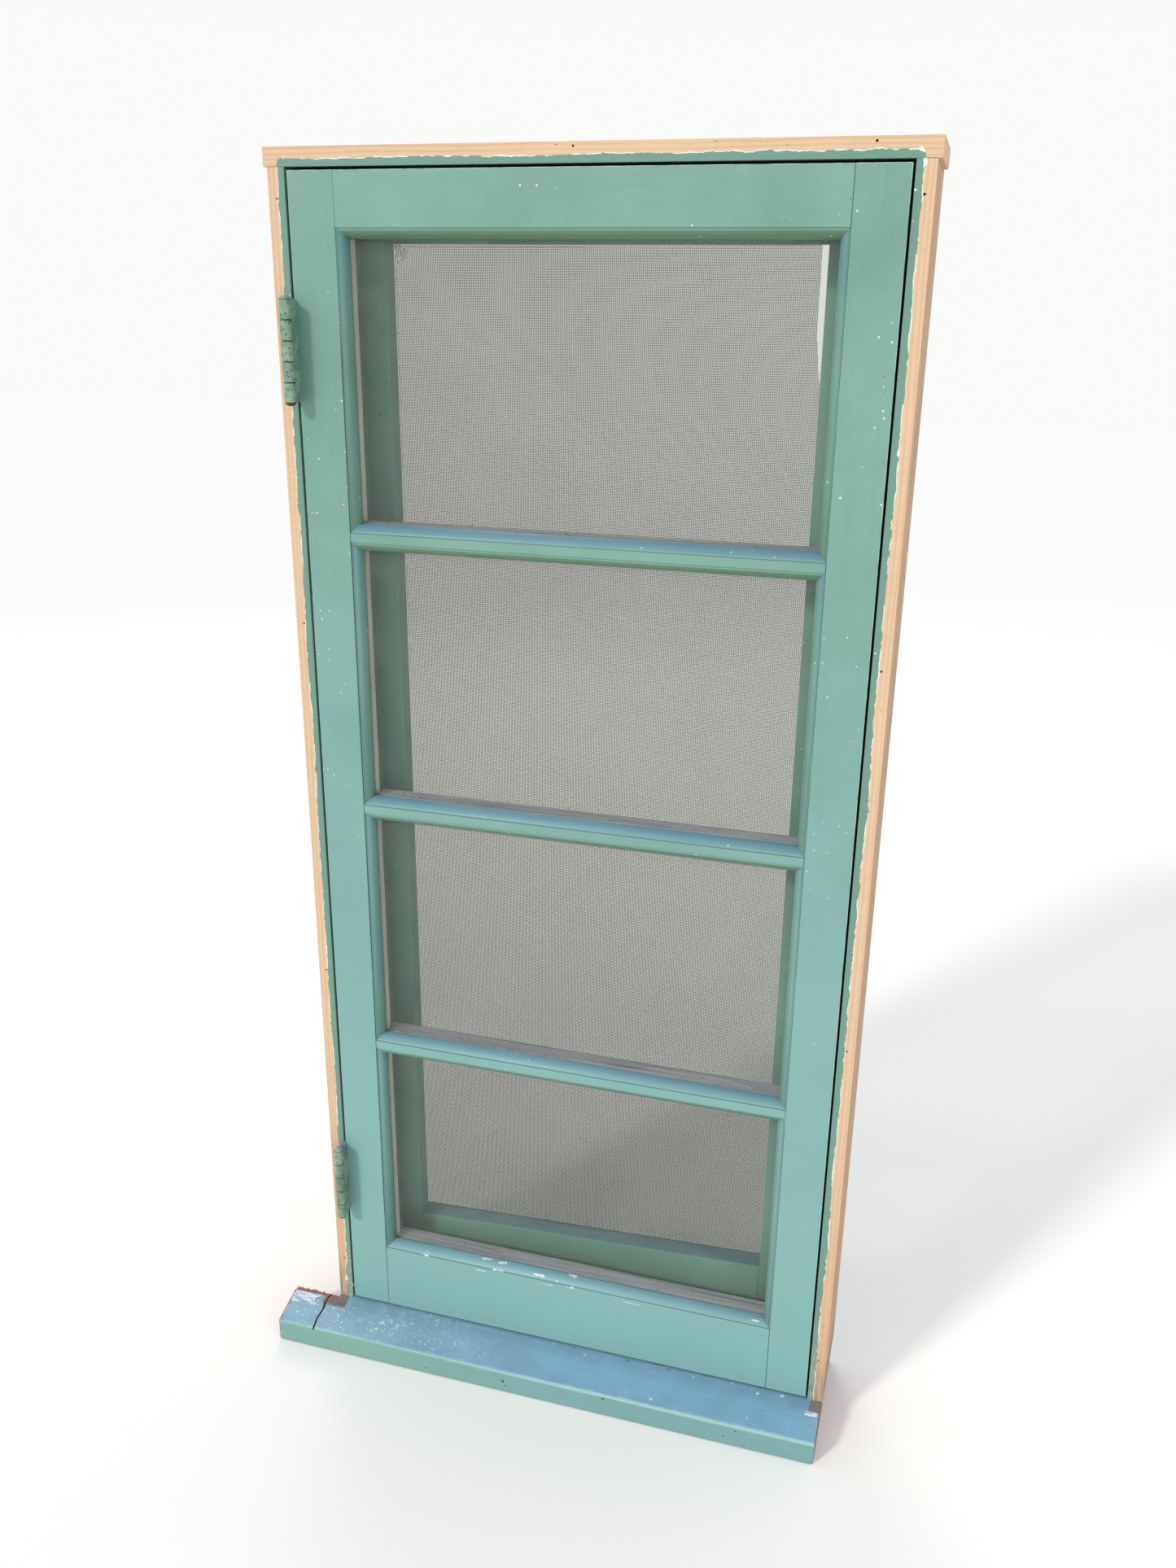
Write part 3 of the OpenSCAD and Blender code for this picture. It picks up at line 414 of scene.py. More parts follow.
def sill_paint():
    """Worn paint, then primer, grey wood and raw wood where the mesh's shares ask for them"""
    s = Shader("sill_paint")
    top = s.rise(s.facing[Z], 0.5, 0.8)
    colour, roughness, height = sill_coat(s, top)
    ragged = s.noise(240.0, 5.0, 0.7)
    patchy = s.noise(60.0, 5.0, 0.75, 9.0)
    # A lighter band along the nose's arris, strongest at the right: wear and a painted highlight
    wear = s.math("MULTIPLY_ADD", patchy, 1.1, s.attribute("worn"))
    wear = s.rise(wear, 1.25, 1.45)
    worn = s.both(wear, s.rise(s.xyz[X], -0.25, 0.05))
    worn = s.math("MULTIPLY_ADD", worn, 0.4, s.both(wear, 0.15))
    colour = s.mix(worn, colour, srgb(160, 192, 190))
    flecked = s.attribute("flecked")
    scuffs = s.both(s.rise(s.noise(85.0, 6.0, 0.75, 12.0), 0.5, 0.72, 0.5), flecked)
    colour = s.mix(s.both(top, scuffs), colour, srgb(178, 196, 200))
    chips = sill_chips(s, top, flecked)
    faint = s.rise(s.noise(45.0, 3.0, 0.6, 7.0), 0.3, 0.65, 0.6)
    colour = s.mix(s.both(chips, s.math("ADD", faint, 0.3)), colour, PRIMER)
    torn = s.math("MULTIPLY_ADD", patchy, 0.9, s.both(ragged, 0.4))
    primed = s.rise(s.math("ADD", torn, s.attribute("primer")), 1.12, 1.2)
    streaked = s.noise((60.0, 340.0, 60.0), 5.0, 0.75)
    white = s.mix(s.rise(streaked, 0.42, 0.6), srgb(206, 212, 222), srgb(128, 150, 170))
    colour = s.mix(primed, colour, white)
    grey = s.rise(s.math("ADD", torn, s.attribute("grey")), 1.1, 1.18)
    weathered, _ = wood_layer(s, X, 5.0, srgb(112, 104, 104), srgb(78, 70, 72))
    colour = s.mix(grey, colour, weathered)
    raw = s.rise(s.math("MULTIPLY_ADD", ragged, 0.3, s.attribute("raw")), 0.6, 0.7)
    splintered, grain = wood_layer(s, X, 8.0, RAW_RED, BROKEN)
    # Painted shade deep in the crack and in the middles of the nail dents
    inside = s.rise(s.attribute("crack"), 0.3, 0.9)
    splintered = s.mix(inside, splintered, shade(BROKEN, 0.45))
    colour = s.mix(raw, colour, splintered)
    bare = s.either(grey, raw)
    roughness = s.math("MULTIPLY_ADD", bare, 0.4, roughness)
    height = s.math("MULTIPLY_ADD", bare, grain, height)
    height = s.math("MULTIPLY_ADD", chips, 0.6, height)
    return s.finish(colour, roughness, height, 0.25)


def bead_wood():
    """Glazing strips: grey and ribbed where they face up, whitish beside the glass, then green"""
    s = Shader("glazing_bead_wood", 0.85)
    colour, grain = wood_layer(s, X, 6.0, srgb(198, 200, 216), srgb(150, 148, 166))
    sideways = s.rise(s.math("ABSOLUTE", s.facing[X]), 0.4, 0.8)
    mottled = s.noise((60.0, 60.0, 14.0), 4.0, 0.6)
    pale = s.mix(s.rise(mottled, 0.35, 0.7), srgb(253, 251, 243), srgb(234, 229, 218))
    colour = s.mix(sideways, colour, pale)
    ribs = s.noise((7.0, 520.0, 30.0), 3.0, 0.6, 2.0)
    upward = s.rise(s.facing[Z], 0.5, 0.8)
    colour = s.mix(s.both(upward, s.rise(ribs, 0.5, 0.66, 0.7)), colour, srgb(104, 104, 116))
    painted = s.without(s.rise(s.xyz[Y], 24 * MM, 26 * MM), upward)
    green, _, brushed = paint_layer(s, Z, 13.0, PAINT_OLD, PAINT)
    colour = s.mix(painted, colour, green)
    grain = s.mix(upward, brushed, grain)
    height = s.math("MULTIPLY_ADD", s.both(upward, ribs), -1.6, grain)
    return s.finish(colour, None, height, 0.25)


def hinge_paint():
    """Thick paint over iron, with dark pits and rust where it has gone, and a painted sky
    reflection on top
    """
    s = Shader("hinge_paint", 0.55)
    tone = s.noise(60.0, 4.0, 0.6)
    colour = s.mix(s.rise(tone, 0.35, 0.65), srgb(92, 124, 104), srgb(128, 158, 138))
    pits = s.spots(330.0, 0.24, 1.0, (1, 1, 0.7), 0.5)
    colour = s.mix(s.both(pits, 0.8), colour, srgb(52, 58, 50))
    brown = s.rise(s.noise(170.0, 5.0, 0.7, 3.0), 0.6, 0.72, 0.8)
    colour = s.mix(brown, colour, srgb(112, 92, 66))
    worn = s.math("MULTIPLY_ADD", s.noise(260.0, 4.0, 0.7), 0.5, s.attribute("rust"))
    rust = s.rise(worn, 0.7, 0.85)
    colour = s.mix(rust, colour, srgb(70, 54, 42))
    # Painted sky reflection on faces that look up
    sky = s.rise(s.facing[Z], 0.3, 0.8, 0.6)
    colour = s.mix(sky, colour, srgb(124, 142, 168))
    roughness = s.math("MULTIPLY_ADD", s.either(rust, pits), 0.3, 0.5)
    height = s.math("MULTIPLY_ADD", pits, -0.9, s.noise(300.0, 3.0, 0.6))
    return s.finish(colour, roughness, height, 0.35)


def metal(name, light, dark, roughness, metallic=0.9, rust=0.0):
    """Worn metal: two tones, scratches and as much rust as is asked for"""
    s = Shader(name, roughness, metallic)
    tone = s.noise(90.0, 5.0, 0.65)
    colour = s.mix(s.rise(tone, 0.3, 0.7), dark, light)
    spots = s.rise(s.noise(230.0, 5.0, 0.7, 4.0), 0.7 - 0.25 * rust, 0.85 - 0.25 * rust)
    colour = s.mix(s.both(spots, 0.85), colour, srgb(104, 66, 42))
    scratches = s.noise((900.0, 60.0, 900.0), 2.0, 0.5)
    rough = s.math("MULTIPLY_ADD", tone, 0.35, roughness - 0.12)
    rough = s.math("MULTIPLY_ADD", spots, 0.3, rough)
    s.put(s.surface.inputs["Metallic"], s.math("MULTIPLY_ADD", spots, -metallic, metallic))
    return s.finish(colour, rough, s.math("ADD", scratches, spots), 0.08)


def wire_metal():
    s = Shader("screen_wire", 0.55, 0.5)
    tone = s.noise(11.0, 4.0, 0.55)
    colour = s.mix(s.rise(tone, 0.3, 0.75), srgb(46, 48, 48), srgb(64, 65, 63))
    return s.finish(colour)


def torn_fibre():
    s = Shader("torn_fibre", 0.9)
    tone = s.noise(300.0, 3.0, 0.6)
    colour = s.mix(s.rise(tone, 0.35, 0.7), srgb(230, 214, 184), srgb(246, 238, 222))
    return s.finish(colour, None, s.noise(1500.0, 2.0, 0.5), 0.05)


def crumb_dirt():
    s = Shader("crumb_dirt", 0.95)
    tone = s.noise(500.0, 3.0, 0.6)
    colour = s.mix(s.rise(tone, 0.35, 0.7), srgb(96, 66, 56), srgb(148, 128, 112))
    return s.finish(colour, None, s.noise(2500.0, 2.0, 0.5), 0.05)


def window_glass():
    """Clear pane with a thin uneven film of dust, more of a mirror when seen at a slant"""
    s = Shader("window_glass", 0.03)
    clear = s.add("BsdfTransparent", {"Color": srgb(240, 241, 238)})
    mirror = s.surface
    waves = s.noise((9.0, 9.0, 4.0), 2.0, 0.4)
    bump = s.add("Bump", {"Strength": 0.5, "Distance": 0.6 * MM, "Height": waves}).outputs[0]
    s.put(mirror.inputs["Normal"], bump)
    s.put(mirror.inputs["Base Color"], srgb(178, 178, 172))
    dust = s.rise(s.noise(9.0, 7.0, 0.7), 0.4, 0.85, 0.05)
    film = s.noise((10.0, 10.0, 46.0), 5.0, 0.6, 3.0)
    dust = s.math("ADD", dust, s.rise(film, 0.4, 0.9, 0.035))
    slant = s.add("LayerWeight", {"Blend": 0.5}).outputs["Facing"]
    share = s.math("MULTIPLY_ADD", s.math("POWER", slant, 5.0), 0.9, 0.05)
    share = s.math("ADD", share, dust)
    out = s.tree.nodes["Material Output"]
    mixed = s.add("MixShader", {0: share, 1: clear.outputs[0], 2: mirror.outputs[0]})
    s.put(out.inputs["Surface"], mixed.outputs[0])
    return s.material


upright_paint = sash_paint("stile_paint", Z)
level_paint = sash_paint("rail_paint", X, 5.0)
screen_upright = frame_paint("screen_stile_paint", Z, 3.0, SCREEN_GREEN, SCREEN_LIGHT)
screen_level = frame_paint("screen_rail_paint", X, 8.0, SCREEN_GREEN, SCREEN_LIGHT)
film_upright = frame_paint("jamb_paint", Z, 1.0, PAINT_FILM, PAINT)
film_level = frame_paint("head_paint", X, 2.0, PAINT_FILM, PAINT)
primer = primer_paint()
beads = bead_wood()
iron = hinge_paint()
brass = metal("worn_brass", srgb(152, 134, 96), srgb(96, 82, 60), 0.42)
steel = metal("rusty_steel", srgb(150, 146, 140), srgb(92, 86, 80), 0.5, 0.85, 0.6)
glass = window_glass()
wire = wire_metal()
pale_fibre = torn_fibre()
crumbs = crumb_dirt()


# ---------- meshes ----------

def new_object(name, data):
    item = bpy.data.objects.new(name, data)
    bpy.context.scene.collection.objects.link(item)
    return item


def coat(mesh, material):
    mesh.materials.clear()
    mesh.materials.append(material)


def add_piece(name, mesh, material, body, replaced=()):
    piece = new_object(name, mesh)
    coat(mesh, material)
    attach(piece, body)
    if replaced:
        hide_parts(*replaced)


def mesh_from(vertices, faces, layers=None):
    """A mesh whose faces all look outwards; layers are named lists of a value for each vertex"""
    mesh = bpy.data.meshes.new("mesh")
    mesh.from_pydata([tuple(v) for v in vertices], [], faces)
    mesh.validate()
    shape = bmesh.new()
    shape.from_mesh(mesh)
    bmesh.ops.recalc_face_normals(shape, faces=shape.faces)
    bmesh.ops.triangulate(shape, faces=[f for f in shape.faces if len(f.verts) > 4])
    shape.to_mesh(mesh)
    shape.free()
    for name, values in (layers or {}).items():
        layer = mesh.attributes.new(name, "FLOAT", "POINT")
        layer.data.foreach_set("value", values)
    return mesh


def skin(start, rows, around, faces, ends="open"):
    """Quads between rows of points that each go round; the ends stay open, are capped or join"""
    for i in range(rows if ends == "join" else rows - 1):
        near = start + i * around
        far = start + (i + 1) % rows * around
        for k in range(around):
            other = (k + 1) % around
            faces.append((near + k, near + other, far + other, far + k))
    if ends == "capped":
        for first in (start, start + (rows - 1) * around):
            faces.append(tuple(range(first, first + around)))


def smooth(mesh, degrees=40):
    """Rounded faces shade smoothly; faces square to an axis stay flat"""
    mesh.set_sharp_from_angle(angle=math.radians(degrees))
    rounded = [max(abs(c) for c in face.normal) < 0.9998 for face in mesh.polygons]
    mesh.polygons.foreach_set("use_smooth", rounded)


def tube(rings, store):
    """Adds a closed tube through rings of points to store = (vertices, faces)"""
    vertices, faces = store
    around = len(rings[0])
    start = len(vertices)
    for ring in rings:
        vertices.extend(ring)
    skin(start, len(rings), around, faces, "capped")


def fibre_mesh(roots, seed, count, lean, thinning, curl, depths):
    """Curling three-sided fibres kept between two depths; a root is (place, reach, radius)"""
    pick = random.Random(seed)
    store = ([], [])
    for root, reach, thick in roots:
        point = Vector(root)
        heading = Vector((pick.uniform(-1, 1), pick.uniform(*lean), pick.uniform(-1, 1)))
        heading.normalize()
        rings = []
        for i in range(count):
            side = heading.orthogonal().normalized()
            other = heading.cross(side)
            radius = thick * (1 - thinning * i)
            angles = [2 * math.pi * k / 3 for k in range(3)]
            rings.append([point + (side * math.cos(a) + other * math.sin(a)) * radius
                          for a in angles])
            point = point + heading * (reach / count)
            swerve = Vector([pick.uniform(-1, 1) for _ in range(3)])
            heading = (heading + curl * swerve).normalized()
            point.y = min(max(point.y, depths[0]), depths[1])
        tube(rings, store)
    return mesh_from(*store)


def softened(node, material, edge, shortest=4.0):
    """Replaces a CAD node by a copy whose long sharp edges are rounded over by edge millimetres"""
    part = frame["nodes"][node]
    mesh = part.data.copy()
    shape = bmesh.new()
    shape.from_mesh(mesh)
    bmesh.ops.remove_doubles(shape, verts=shape.verts, dist=0.001 * MM)
    bmesh.ops.dissolve_limit(shape, angle_limit=math.radians(0.5), verts=shape.verts,
                             edges=shape.edges)
    sharp = [e for e in shape.edges if len(e.link_faces) == 2
             and e.calc_face_angle(0) > math.radians(35) and e.calc_length() > shortest * MM]
    bmesh.ops.bevel(shape, geom=sharp, offset=edge * MM, offset_type="OFFSET",
                    segments=2, profile=0.5, affect="EDGES", clamp_overlap=False)
    bmesh.ops.triangulate(shape, faces=[f for f in shape.faces if len(f.verts) > 4])
    shape.to_mesh(mesh)
    shape.free()
    smooth(mesh)
    add_piece(node + "_worn", mesh, material, part["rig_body"], [node])


# Nodes whose edges are rounded over: by how many millimetres, with what finish
ROUNDED = (
    (0.45, upright_paint, ("hinge_stile", "latch_stile")),
    (0.45, level_paint, ("top_rail", "bottom_rail", "muntin_1", "muntin_2", "muntin_3")),
    (0.9, screen_upright, ("screen_hinge_stile", "screen_latch_stile")),
    (0.9, screen_level, ("screen_top_rail", "screen_bottom_rail")),
    (1.0, film_upright, ("hinge_stop", "latch_stop")),
    (1.0, film_level, ("head_stop", "sill_stop")),
    (0.9, screen_level, ("screen_beading",)),
    (0.6, beads, [f"glazing_beads_{k}" for k in (1, 2, 3, 4)]),
    (0.7, jamb_wood("head_jamb", X, (Z, -1.0)), ("head_jamb",)),
    (0.7, jamb_wood("hinge_jamb", Z, (X, 1.0)), ("hinge_jamb",)),
    (0.7, jamb_wood("latch_jamb", Z, (X, -1.0)), ("latch_jamb",)),
)
BRASS_PARTS = ("latch_base", "latch_lever", "latch_keeper", "bolt_case", "bolt_strike")
# Nodes that are shown as they stand
PLAIN = (
    (glass, [f"pane_{k}" for k in (1, 2, 3, 4)]),
    (brass, ("latch_rivet", "slide_bolt")),
    (steel, [node for node in slots if node.endswith(("nails", "brads", "screws"))]),
    (iron, ("screen_leaves", "screen_jamb_leaves", "screen_hinge_pins")),
    (level_paint, ("corner_pegs",)),
)

for edge, finish, nodes in ROUNDED:
    for node in nodes:
        softened(node, finish, edge)
for node in BRASS_PARTS:
    softened(node, brass, 0.35, 2.5)
for finish, nodes in PLAIN:
    for node in nodes:
        coat(frame["nodes"][node].data, finish)


# ---------- paint film on the bare boards ----------

def wobble(along, seed, *steps):
    """Smooth random wander; each step is (size in metres, how often per metre)"""
    return sum(size * noise.noise((along * rate, seed, rate)) for size, rate in steps)


def strips(runs, axis, across, lift):
    """Thin raised strips on the frame's outer face; a run is a list of (along, near, far)"""
    store = ([], [])
    sunk = 0.05 * MM
    for run in runs:
        rings = []
        for along, near, far in run:
            inset = min(lift, abs(far - near) * 0.3) * (1 if far > near else -1)
            ring = []
            for side, y in ((near, sunk), (near, -lift), (far - inset, -lift), (far, sunk)):
                point = [0.0, y, 0.0]
                point[axis] = along
                point[across] = side
                ring.append(point)
            rings.append(ring)
        tube(rings, store)
    return mesh_from(*store)


def film_edge(along, seed):
    """Distance of the paint's ragged outer edge from the opening's edge"""
    return 7.4 * MM + wobble(along, seed, (2.6 * MM, 9.0), (1.5 * MM, 60.0), (0.8 * MM, 330.0))


def paint_film(name, axis, edge, sign, ends, seed, material, chips):
    """Green film from the opening's edge outwards, and the broken white primer line beyond it.

    Chips are wide places in that line: (middle, half length, extra width).
    """
    across = X if axis == Z else Z
    steps = int((ends[1] - ends[0]) / (1.4 * MM))
    film = []
    ridges = [[]]
    for i in range(steps + 1):
        along = ends[0] + (ends[1] - ends[0]) * i / steps
        reach = film_edge(along, seed)
        if axis == X:
            # The head's film is rounded off at both ends
            inside = min(along - ends[0], ends[1] - along)
            reach -= 5.5 * MM * (1 - math.sqrt(1 - (1 - min(inside / (6 * MM), 1.0)) ** 2))
        film.append((along, edge + sign * 0.25 * MM, edge + sign * reach))
        width = 0.45 * MM + wobble(along, seed + 40, (1.3 * MM, 22.0), (0.8 * MM, 110.0))
        for middle, half_length, extra in chips:
            off = abs(along - middle) / half_length
            width += extra * max(0.0, 1 - off ** 4)
        if width > 0.3 * MM:
            inner = edge + sign * max(reach - 0.35 * MM - 0.4 * width, 0.4 * MM)
            ridges[-1].append((along, inner, edge + sign * (reach + 0.6 * width)))
        else:
            ridges.append([])
    ridges = [ridge for ridge in ridges if len(ridge) > 1]
    add_piece(name, strips([film], axis, across, 0.22 * MM), material, "frame")
    add_piece(name + "_edge", strips(ridges, axis, across, 0.3 * MM), primer, "frame")


def add_paint_films():
    """The films round the opening, and splinters at the foot of the hinge jamb"""
    corner = 8.0 * MM
    upright = (seat_z, head_z)
    chips = [(196 * MM, 9 * MM, 6 * MM), (74 * MM, 5 * MM, 3 * MM)]
    paint_film("hinge_jamb_film", Z, -half_open, -1, upright, 3.0, film_upright, chips)
    chips = [(head_z - 2 * MM, 5 * MM, 2.5 * MM), (1190 * MM, 4 * MM, 1.5 * MM)]
    paint_film("latch_jamb_film", Z, half_open, 1, upright, 7.0, film_upright, chips)
    ends = (-half_open - corner, half_open + corner)
    chips = [(half_open + 4 * MM, 3 * MM, 3 * MM)]
    paint_film("head_film", X, head_z, 1, ends, 11.0, film_level, chips)
    pick = random.Random(5)
    roots = []
    for _ in range(16):
        z = seat_z + pick.uniform(4, 95) * MM
        x = -half_open - pick.uniform(0.5, 6) * MM
        roots.append(((x, -0.1 * MM, z), pick.uniform(3, 9) * MM, pick.uniform(0.25, 0.55) * MM))
    depths = (-12 * MM, -0.2 * MM)
    splinters = fibre_mesh(roots, 9, 7, (-1.2, -0.3), 0.85 / 6, 0.55, depths)
    add_piece("jamb_foot_splinters", splinters, pale_fibre, "frame")


# ---------- sill: worked out in millimetres ----------

NOSE_Y = sill_low.y / MM
NOSE_H = 32.0
TOP_Z = sill_high.z / MM
SPLIT_X = -half_frame / MM - 14.0
# The crack across the horn: (offset from SPLIT_X, distance out from the frame's face)
SPLIT_ROUTE = [(1.0, 0.0), (-0.8, 16.0), (0.6, 27.0), (-1.2, 40.0), (0.4, 56.0)]
# Nail dents in the front face: place along it, height and reach
DENTS = [(-73.0, 17.0, 3.2), (-70.0, 11.0, 2.2), (60.0, 27.0, 2.6), (228.0, 24.0, 2.4),
         (214.0, 12.0, 2.4), (240.0, 6.0, 1.8), (-180.0, 9.0, 1.8)]
WEAR = ("raw", "primer", "grey", "worn", "flecked", "crack")


def split_centre(y):
    """Where the crack across the horn runs, at a distance y behind the frame's face"""
    out = min(max(-y, 0.0), SPLIT_ROUTE[-1][1])
    centre = SPLIT_X
    for (x0, y0), (x1, y1) in zip(SPLIT_ROUTE, SPLIT_ROUTE[1:]):
        if y0 <= out <= y1:
            centre = SPLIT_X + x0 + (x1 - x0) * (out - y0) / (y1 - y0)
    return centre


def line_to(points, end, steps, whole=True):
    """Carries a row of points straight on towards end in even steps, and to it if whole"""
    y, z = points[-1]
    for i in range(1, steps + whole):
        points.append((y + (end[0] - y) * i / steps, z + (end[1] - z) * i / steps))


def sill_section(back):
    """(y, z) points round the section: underside with its drip groove, nose, slope and back"""
    slope = math.atan2(TOP_Z - NOSE_H, -NOSE_Y)
    radius = 3.0
    mid_z = TOP_Z - (radius + (-NOSE_Y - radius) * math.sin(slope)) / math.cos(slope)
    lift = 0.15
    points = [(back, lift)]
    if back > 0:
        line_to(points, (0.0, lift), 12)
    points += [(-y, lift) for y in (8, 16, 24, 32, 38)]
    points += [(-y, 6.0) for y in (38, 41, 44)]
    points += [(-y, lift) for y in (44, 50)]
    low = 2.0
    for i in range(5):
        angle = math.pi * (1.5 - 0.5 * i / 4)
        points.append((NOSE_Y + low + low * math.cos(angle), low + lift + low * math.sin(angle)))
    front = int((mid_z - low) / 1.7)
    points += [(NOSE_Y, low + (mid_z - low) * i / front) for i in range(1, front)]
    for i in range(8):
        angle = math.pi - (math.pi / 2 - slope) * i / 7
        across = radius * math.cos(angle)
        points.append((NOSE_Y + radius + across, mid_z + radius * math.sin(angle)))
    line_to(points, (0.0, TOP_Z), 30)
    if back > 0:
        line_to(points, (back, TOP_Z), 24)
        line_to(points, (back, 0.0), 8, whole=False)
    else:
        line_to(points, (0.0, 0.0), 14, whole=False)
    return points


def step(value, low, high):
    """0 at low, 1 at high, smooth between"""
    share = min(max((value - low) / (high - low), 0.0), 1.0)
    return share * share * (3 - 2 * share)


def box_mask(x, y, xs, ys, soft):
    """1 inside a rectangle, falling off over soft millimetres either way"""
    inside_x = min(step(x, xs[0] - soft, xs[0] + soft), step(-x, -xs[1] - soft, -xs[1] + soft))
    inside_y = min(step(y, ys[0] - soft, ys[0] + soft), step(-y, -ys[1] - soft, -ys[1] + soft))
    return min(inside_x, inside_y)


def dent_at(x, z):
    """How deep in a nail dent a point of the front face is: 1 at its middle, 0 at its rim"""
    return max(1 - math.hypot(x - at, (z - high) * 1.4) / reach for at, high, reach in DENTS)


def horn_wear(x, y, z):
    """Shares of raw wood and of the crack on the broken horn; the crack's share carries painted
    shade
    """
    back_edge = max(step(y, -9.5, -5) * step(z, 26, 34), 0.85 * step(y, -1.5, -0.5))
    end = step(-x, 388.5, 390.8) * max(step(-z, -6, -1), 0.75 * step(z, 22, 34))
    chipped = noise.noise((x * 0.33, y * 0.33, z * 0.33)) + 0.4 * step(-x, 385, 391)
    chips = step(chipped, 0.5, 0.6) * step(-x, 383, 386)
    off = abs(x - split_centre(y))
    spread = 1.2 + 1.8 * step(y, -30, -5)
    high = step(z, 29, 32)
    lips = step(-off, -spread - 0.8, -spread + 0.8) * high
    return max(back_edge, end, chips, lips), step(-off, -1.3, -0.7) * high


def sill_wear(x, y, z, on_horn):
    """The shares named in WEAR at a point"""
    raw, crack = horn_wear(x, y, z) if on_horn else (0.0, 0.0)
    if y < -52 and z < 31:
        dent = step(dent_at(x, z), 0.0, 0.6)
        raw = max(raw, dent)
        # The dents' middles take the crack's painted shade
        crack = max(crack, dent)
    top = step(z, 31, 33) if y < 0.5 else step(z, 44, 44.9)
    primer_share = 0.0
    grey = 0.0
    if top > 0:
        lean = noise.noise((x * 0.09, y * 0.09, 0.0))
        primer_share = 0.92 * box_mask(x, y, (-392, -353 + 9 * lean), (-24 + 6 * lean, -4), 6) * top
        primer_share = max(primer_share, box_mask(x, y, (306, 322), (-21, -15), 2) * 0.95)
        grey = max(box_mask(x, y, (-345, -312.5), (-19, -1), 0.8),
                   box_mask(x, y, (311, 324), (-15, 0), 0.6),
                   0.38 * box_mask(x, y, (-306, 300), (-7, 1.5), 4)) * top
    # The nose's arris, where the lighter band of wear and painted highlight goes
    worn = step(-y, 49, 53.5) * step(z, 26, 30)
    drift = 70 * noise.noise((x * 0.009, y * 0.04, 2.0))
    flecked = 0.14 + 0.5 * step(-x + drift, -20, 300)
    flecked += 0.45 * box_mask(x, y, (-262, -222), (-44, -14), 14)
    flecked += 0.3 * box_mask(x, y, (60, 90), (-52, -40), 8)
    if y > 4:
        flecked = 0.1
    return raw, primer_share, grey, worn, flecked * max(top, 0.12), crack


def horn_point(x, y, z):
    """How far wear lowers a point of the horn, and where it leaves the point's y"""
    dip = 0.0
    off = abs(x - split_centre(y))
    if off < 1.0 and z > 24 and y < -0.2:
        dip += (9.0 - 6.0 * step(-y, 20, 56)) * step(-off, -0.95, -0.2)
    ragged = noise.noise((x * 0.16, 3.0, z * 0.06)) + 0.6 * noise.noise((x * 0.6, 8.0, z * 0.09))
    if y > -9 and z > 24:
        broken = step(y, -8.0 + 2.5 * ragged, -3.5 + 2.5 * ragged)
        dip += broken * (2.6 + 2.4 * ragged)
    if y > -1.5:
        y -= 1.4 + 1.2 * ragged
    edge = step(-x, 388, 391.4)
    y += edge * step(-y, 50, 55) * 1.6
    dip += edge * step(z, 24, 32) * 1.4
    return dip, y


def sill_point(x, y, z, on_horn):
    """A point of the section moved inwards by wear, in metres"""
    dip, y = horn_point(x, y, z) if on_horn else (0.0, y)
    if y < -52.5 and z < 30:
        y += 1.1 * (1 - (1 - max(dent_at(x, z), 0.0)) ** 2)
        y += 0.12 * (1 + noise.noise((x * 0.04, z * 0.3, 2.0)))
    if z > 30 and y < 0.5:
        dip += 0.16 * (1 + noise.noise((x * 0.03, y * 0.26, 6.0)))
        dip += step(-y, 50, 55) * 0.5 * max(0.0, noise.noise((x * 0.07, 1.0, 4.0)))
    if y < -40 and z < 6:
        y += step(x, 321.5, 323.8) * 2.5
    return x * MM, y * MM, max(z - dip, 0.15) * MM


def sill_run(stations, back, on_horn, store):
    """Sweeps the section along X into store = (vertices, faces, wear), with capped ends"""
    vertices, faces, wear = store
    section = sill_section(back)
    count = len(section)
    start = len(vertices)
    for station in stations:
        pull = max(0.0, 1 - abs(station - SPLIT_X) / 6) if on_horn else 0.0
        for y, z in section:
            x = station + (split_centre(y) - SPLIT_X) * min(1.0, 1.3 * pull)
            vertices.append(sill_point(x, y, z, on_horn))
            wear.append(sill_wear(x, y, z, on_horn))
    skin(start, len(stations), count, faces)
    for row, raw in ((0, 0.55 if on_horn else 0.95), (len(stations) - 1, 0.95)):
        first = len(vertices)
        vertices += vertices[start + row * count:start + (row + 1) * count]
        wear += [(raw, 0.0, 0.0, 0.0, 0.0, 0.0)] * count
        faces.append(tuple(range(first, first + count)))


def evenly(low, high, steps):
    return [low + (high - low) * i / steps for i in range(steps + 1)]


def add_sill():
    store = ([], [], [])
    left, jamb, right = sill_low.x / MM, -half_frame / MM, sill_high.x / MM
    sill_run(evenly(jamb, right, 325), sill_high.y / MM, False, store)
    horn = [x for x in evenly(left, jamb, 46) if abs(x - SPLIT_X) > 1.4]
    horn += [SPLIT_X + off for off in (-1.15, -0.9, -0.6, -0.3, 0.0, 0.3, 0.6, 0.9, 1.15)]
    sill_run(sorted(horn), 0.0, True, store)
    vertices, faces, wear = store
    layers = {name: [shares[i] for shares in wear] for i, name in enumerate(WEAR)}
    mesh = mesh_from(vertices, faces, layers)
    smooth(mesh, 38)
    add_piece("sill_worn", mesh, sill_paint(), "frame", ["sill"])


# ---------- sash hinges ----------

hinge_low, hinge_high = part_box("sash_hinge_leaves")
barrel_r = (hinge_high.x - hinge_low.x) / 2
pin_x = (hinge_high.x + hinge_low.x) / 2
pin_y = hinge_low.y + barrel_r
leaf_h = 102 * MM
KNUCKLES = 5
KNUCKLE_GAP = 0.5 * MM
PIN_R = 3.2 * MM
BORE_R = 4.0 * MM
# A leaf's thickness, and how far its hidden face lies beside the pin's axis
LEAF_T = 2.4 * MM
LEAF_X = 2.65 * MM
hinge_middles = (hinge_low.z + leaf_h / 2, hinge_high.z - leaf_h / 2)


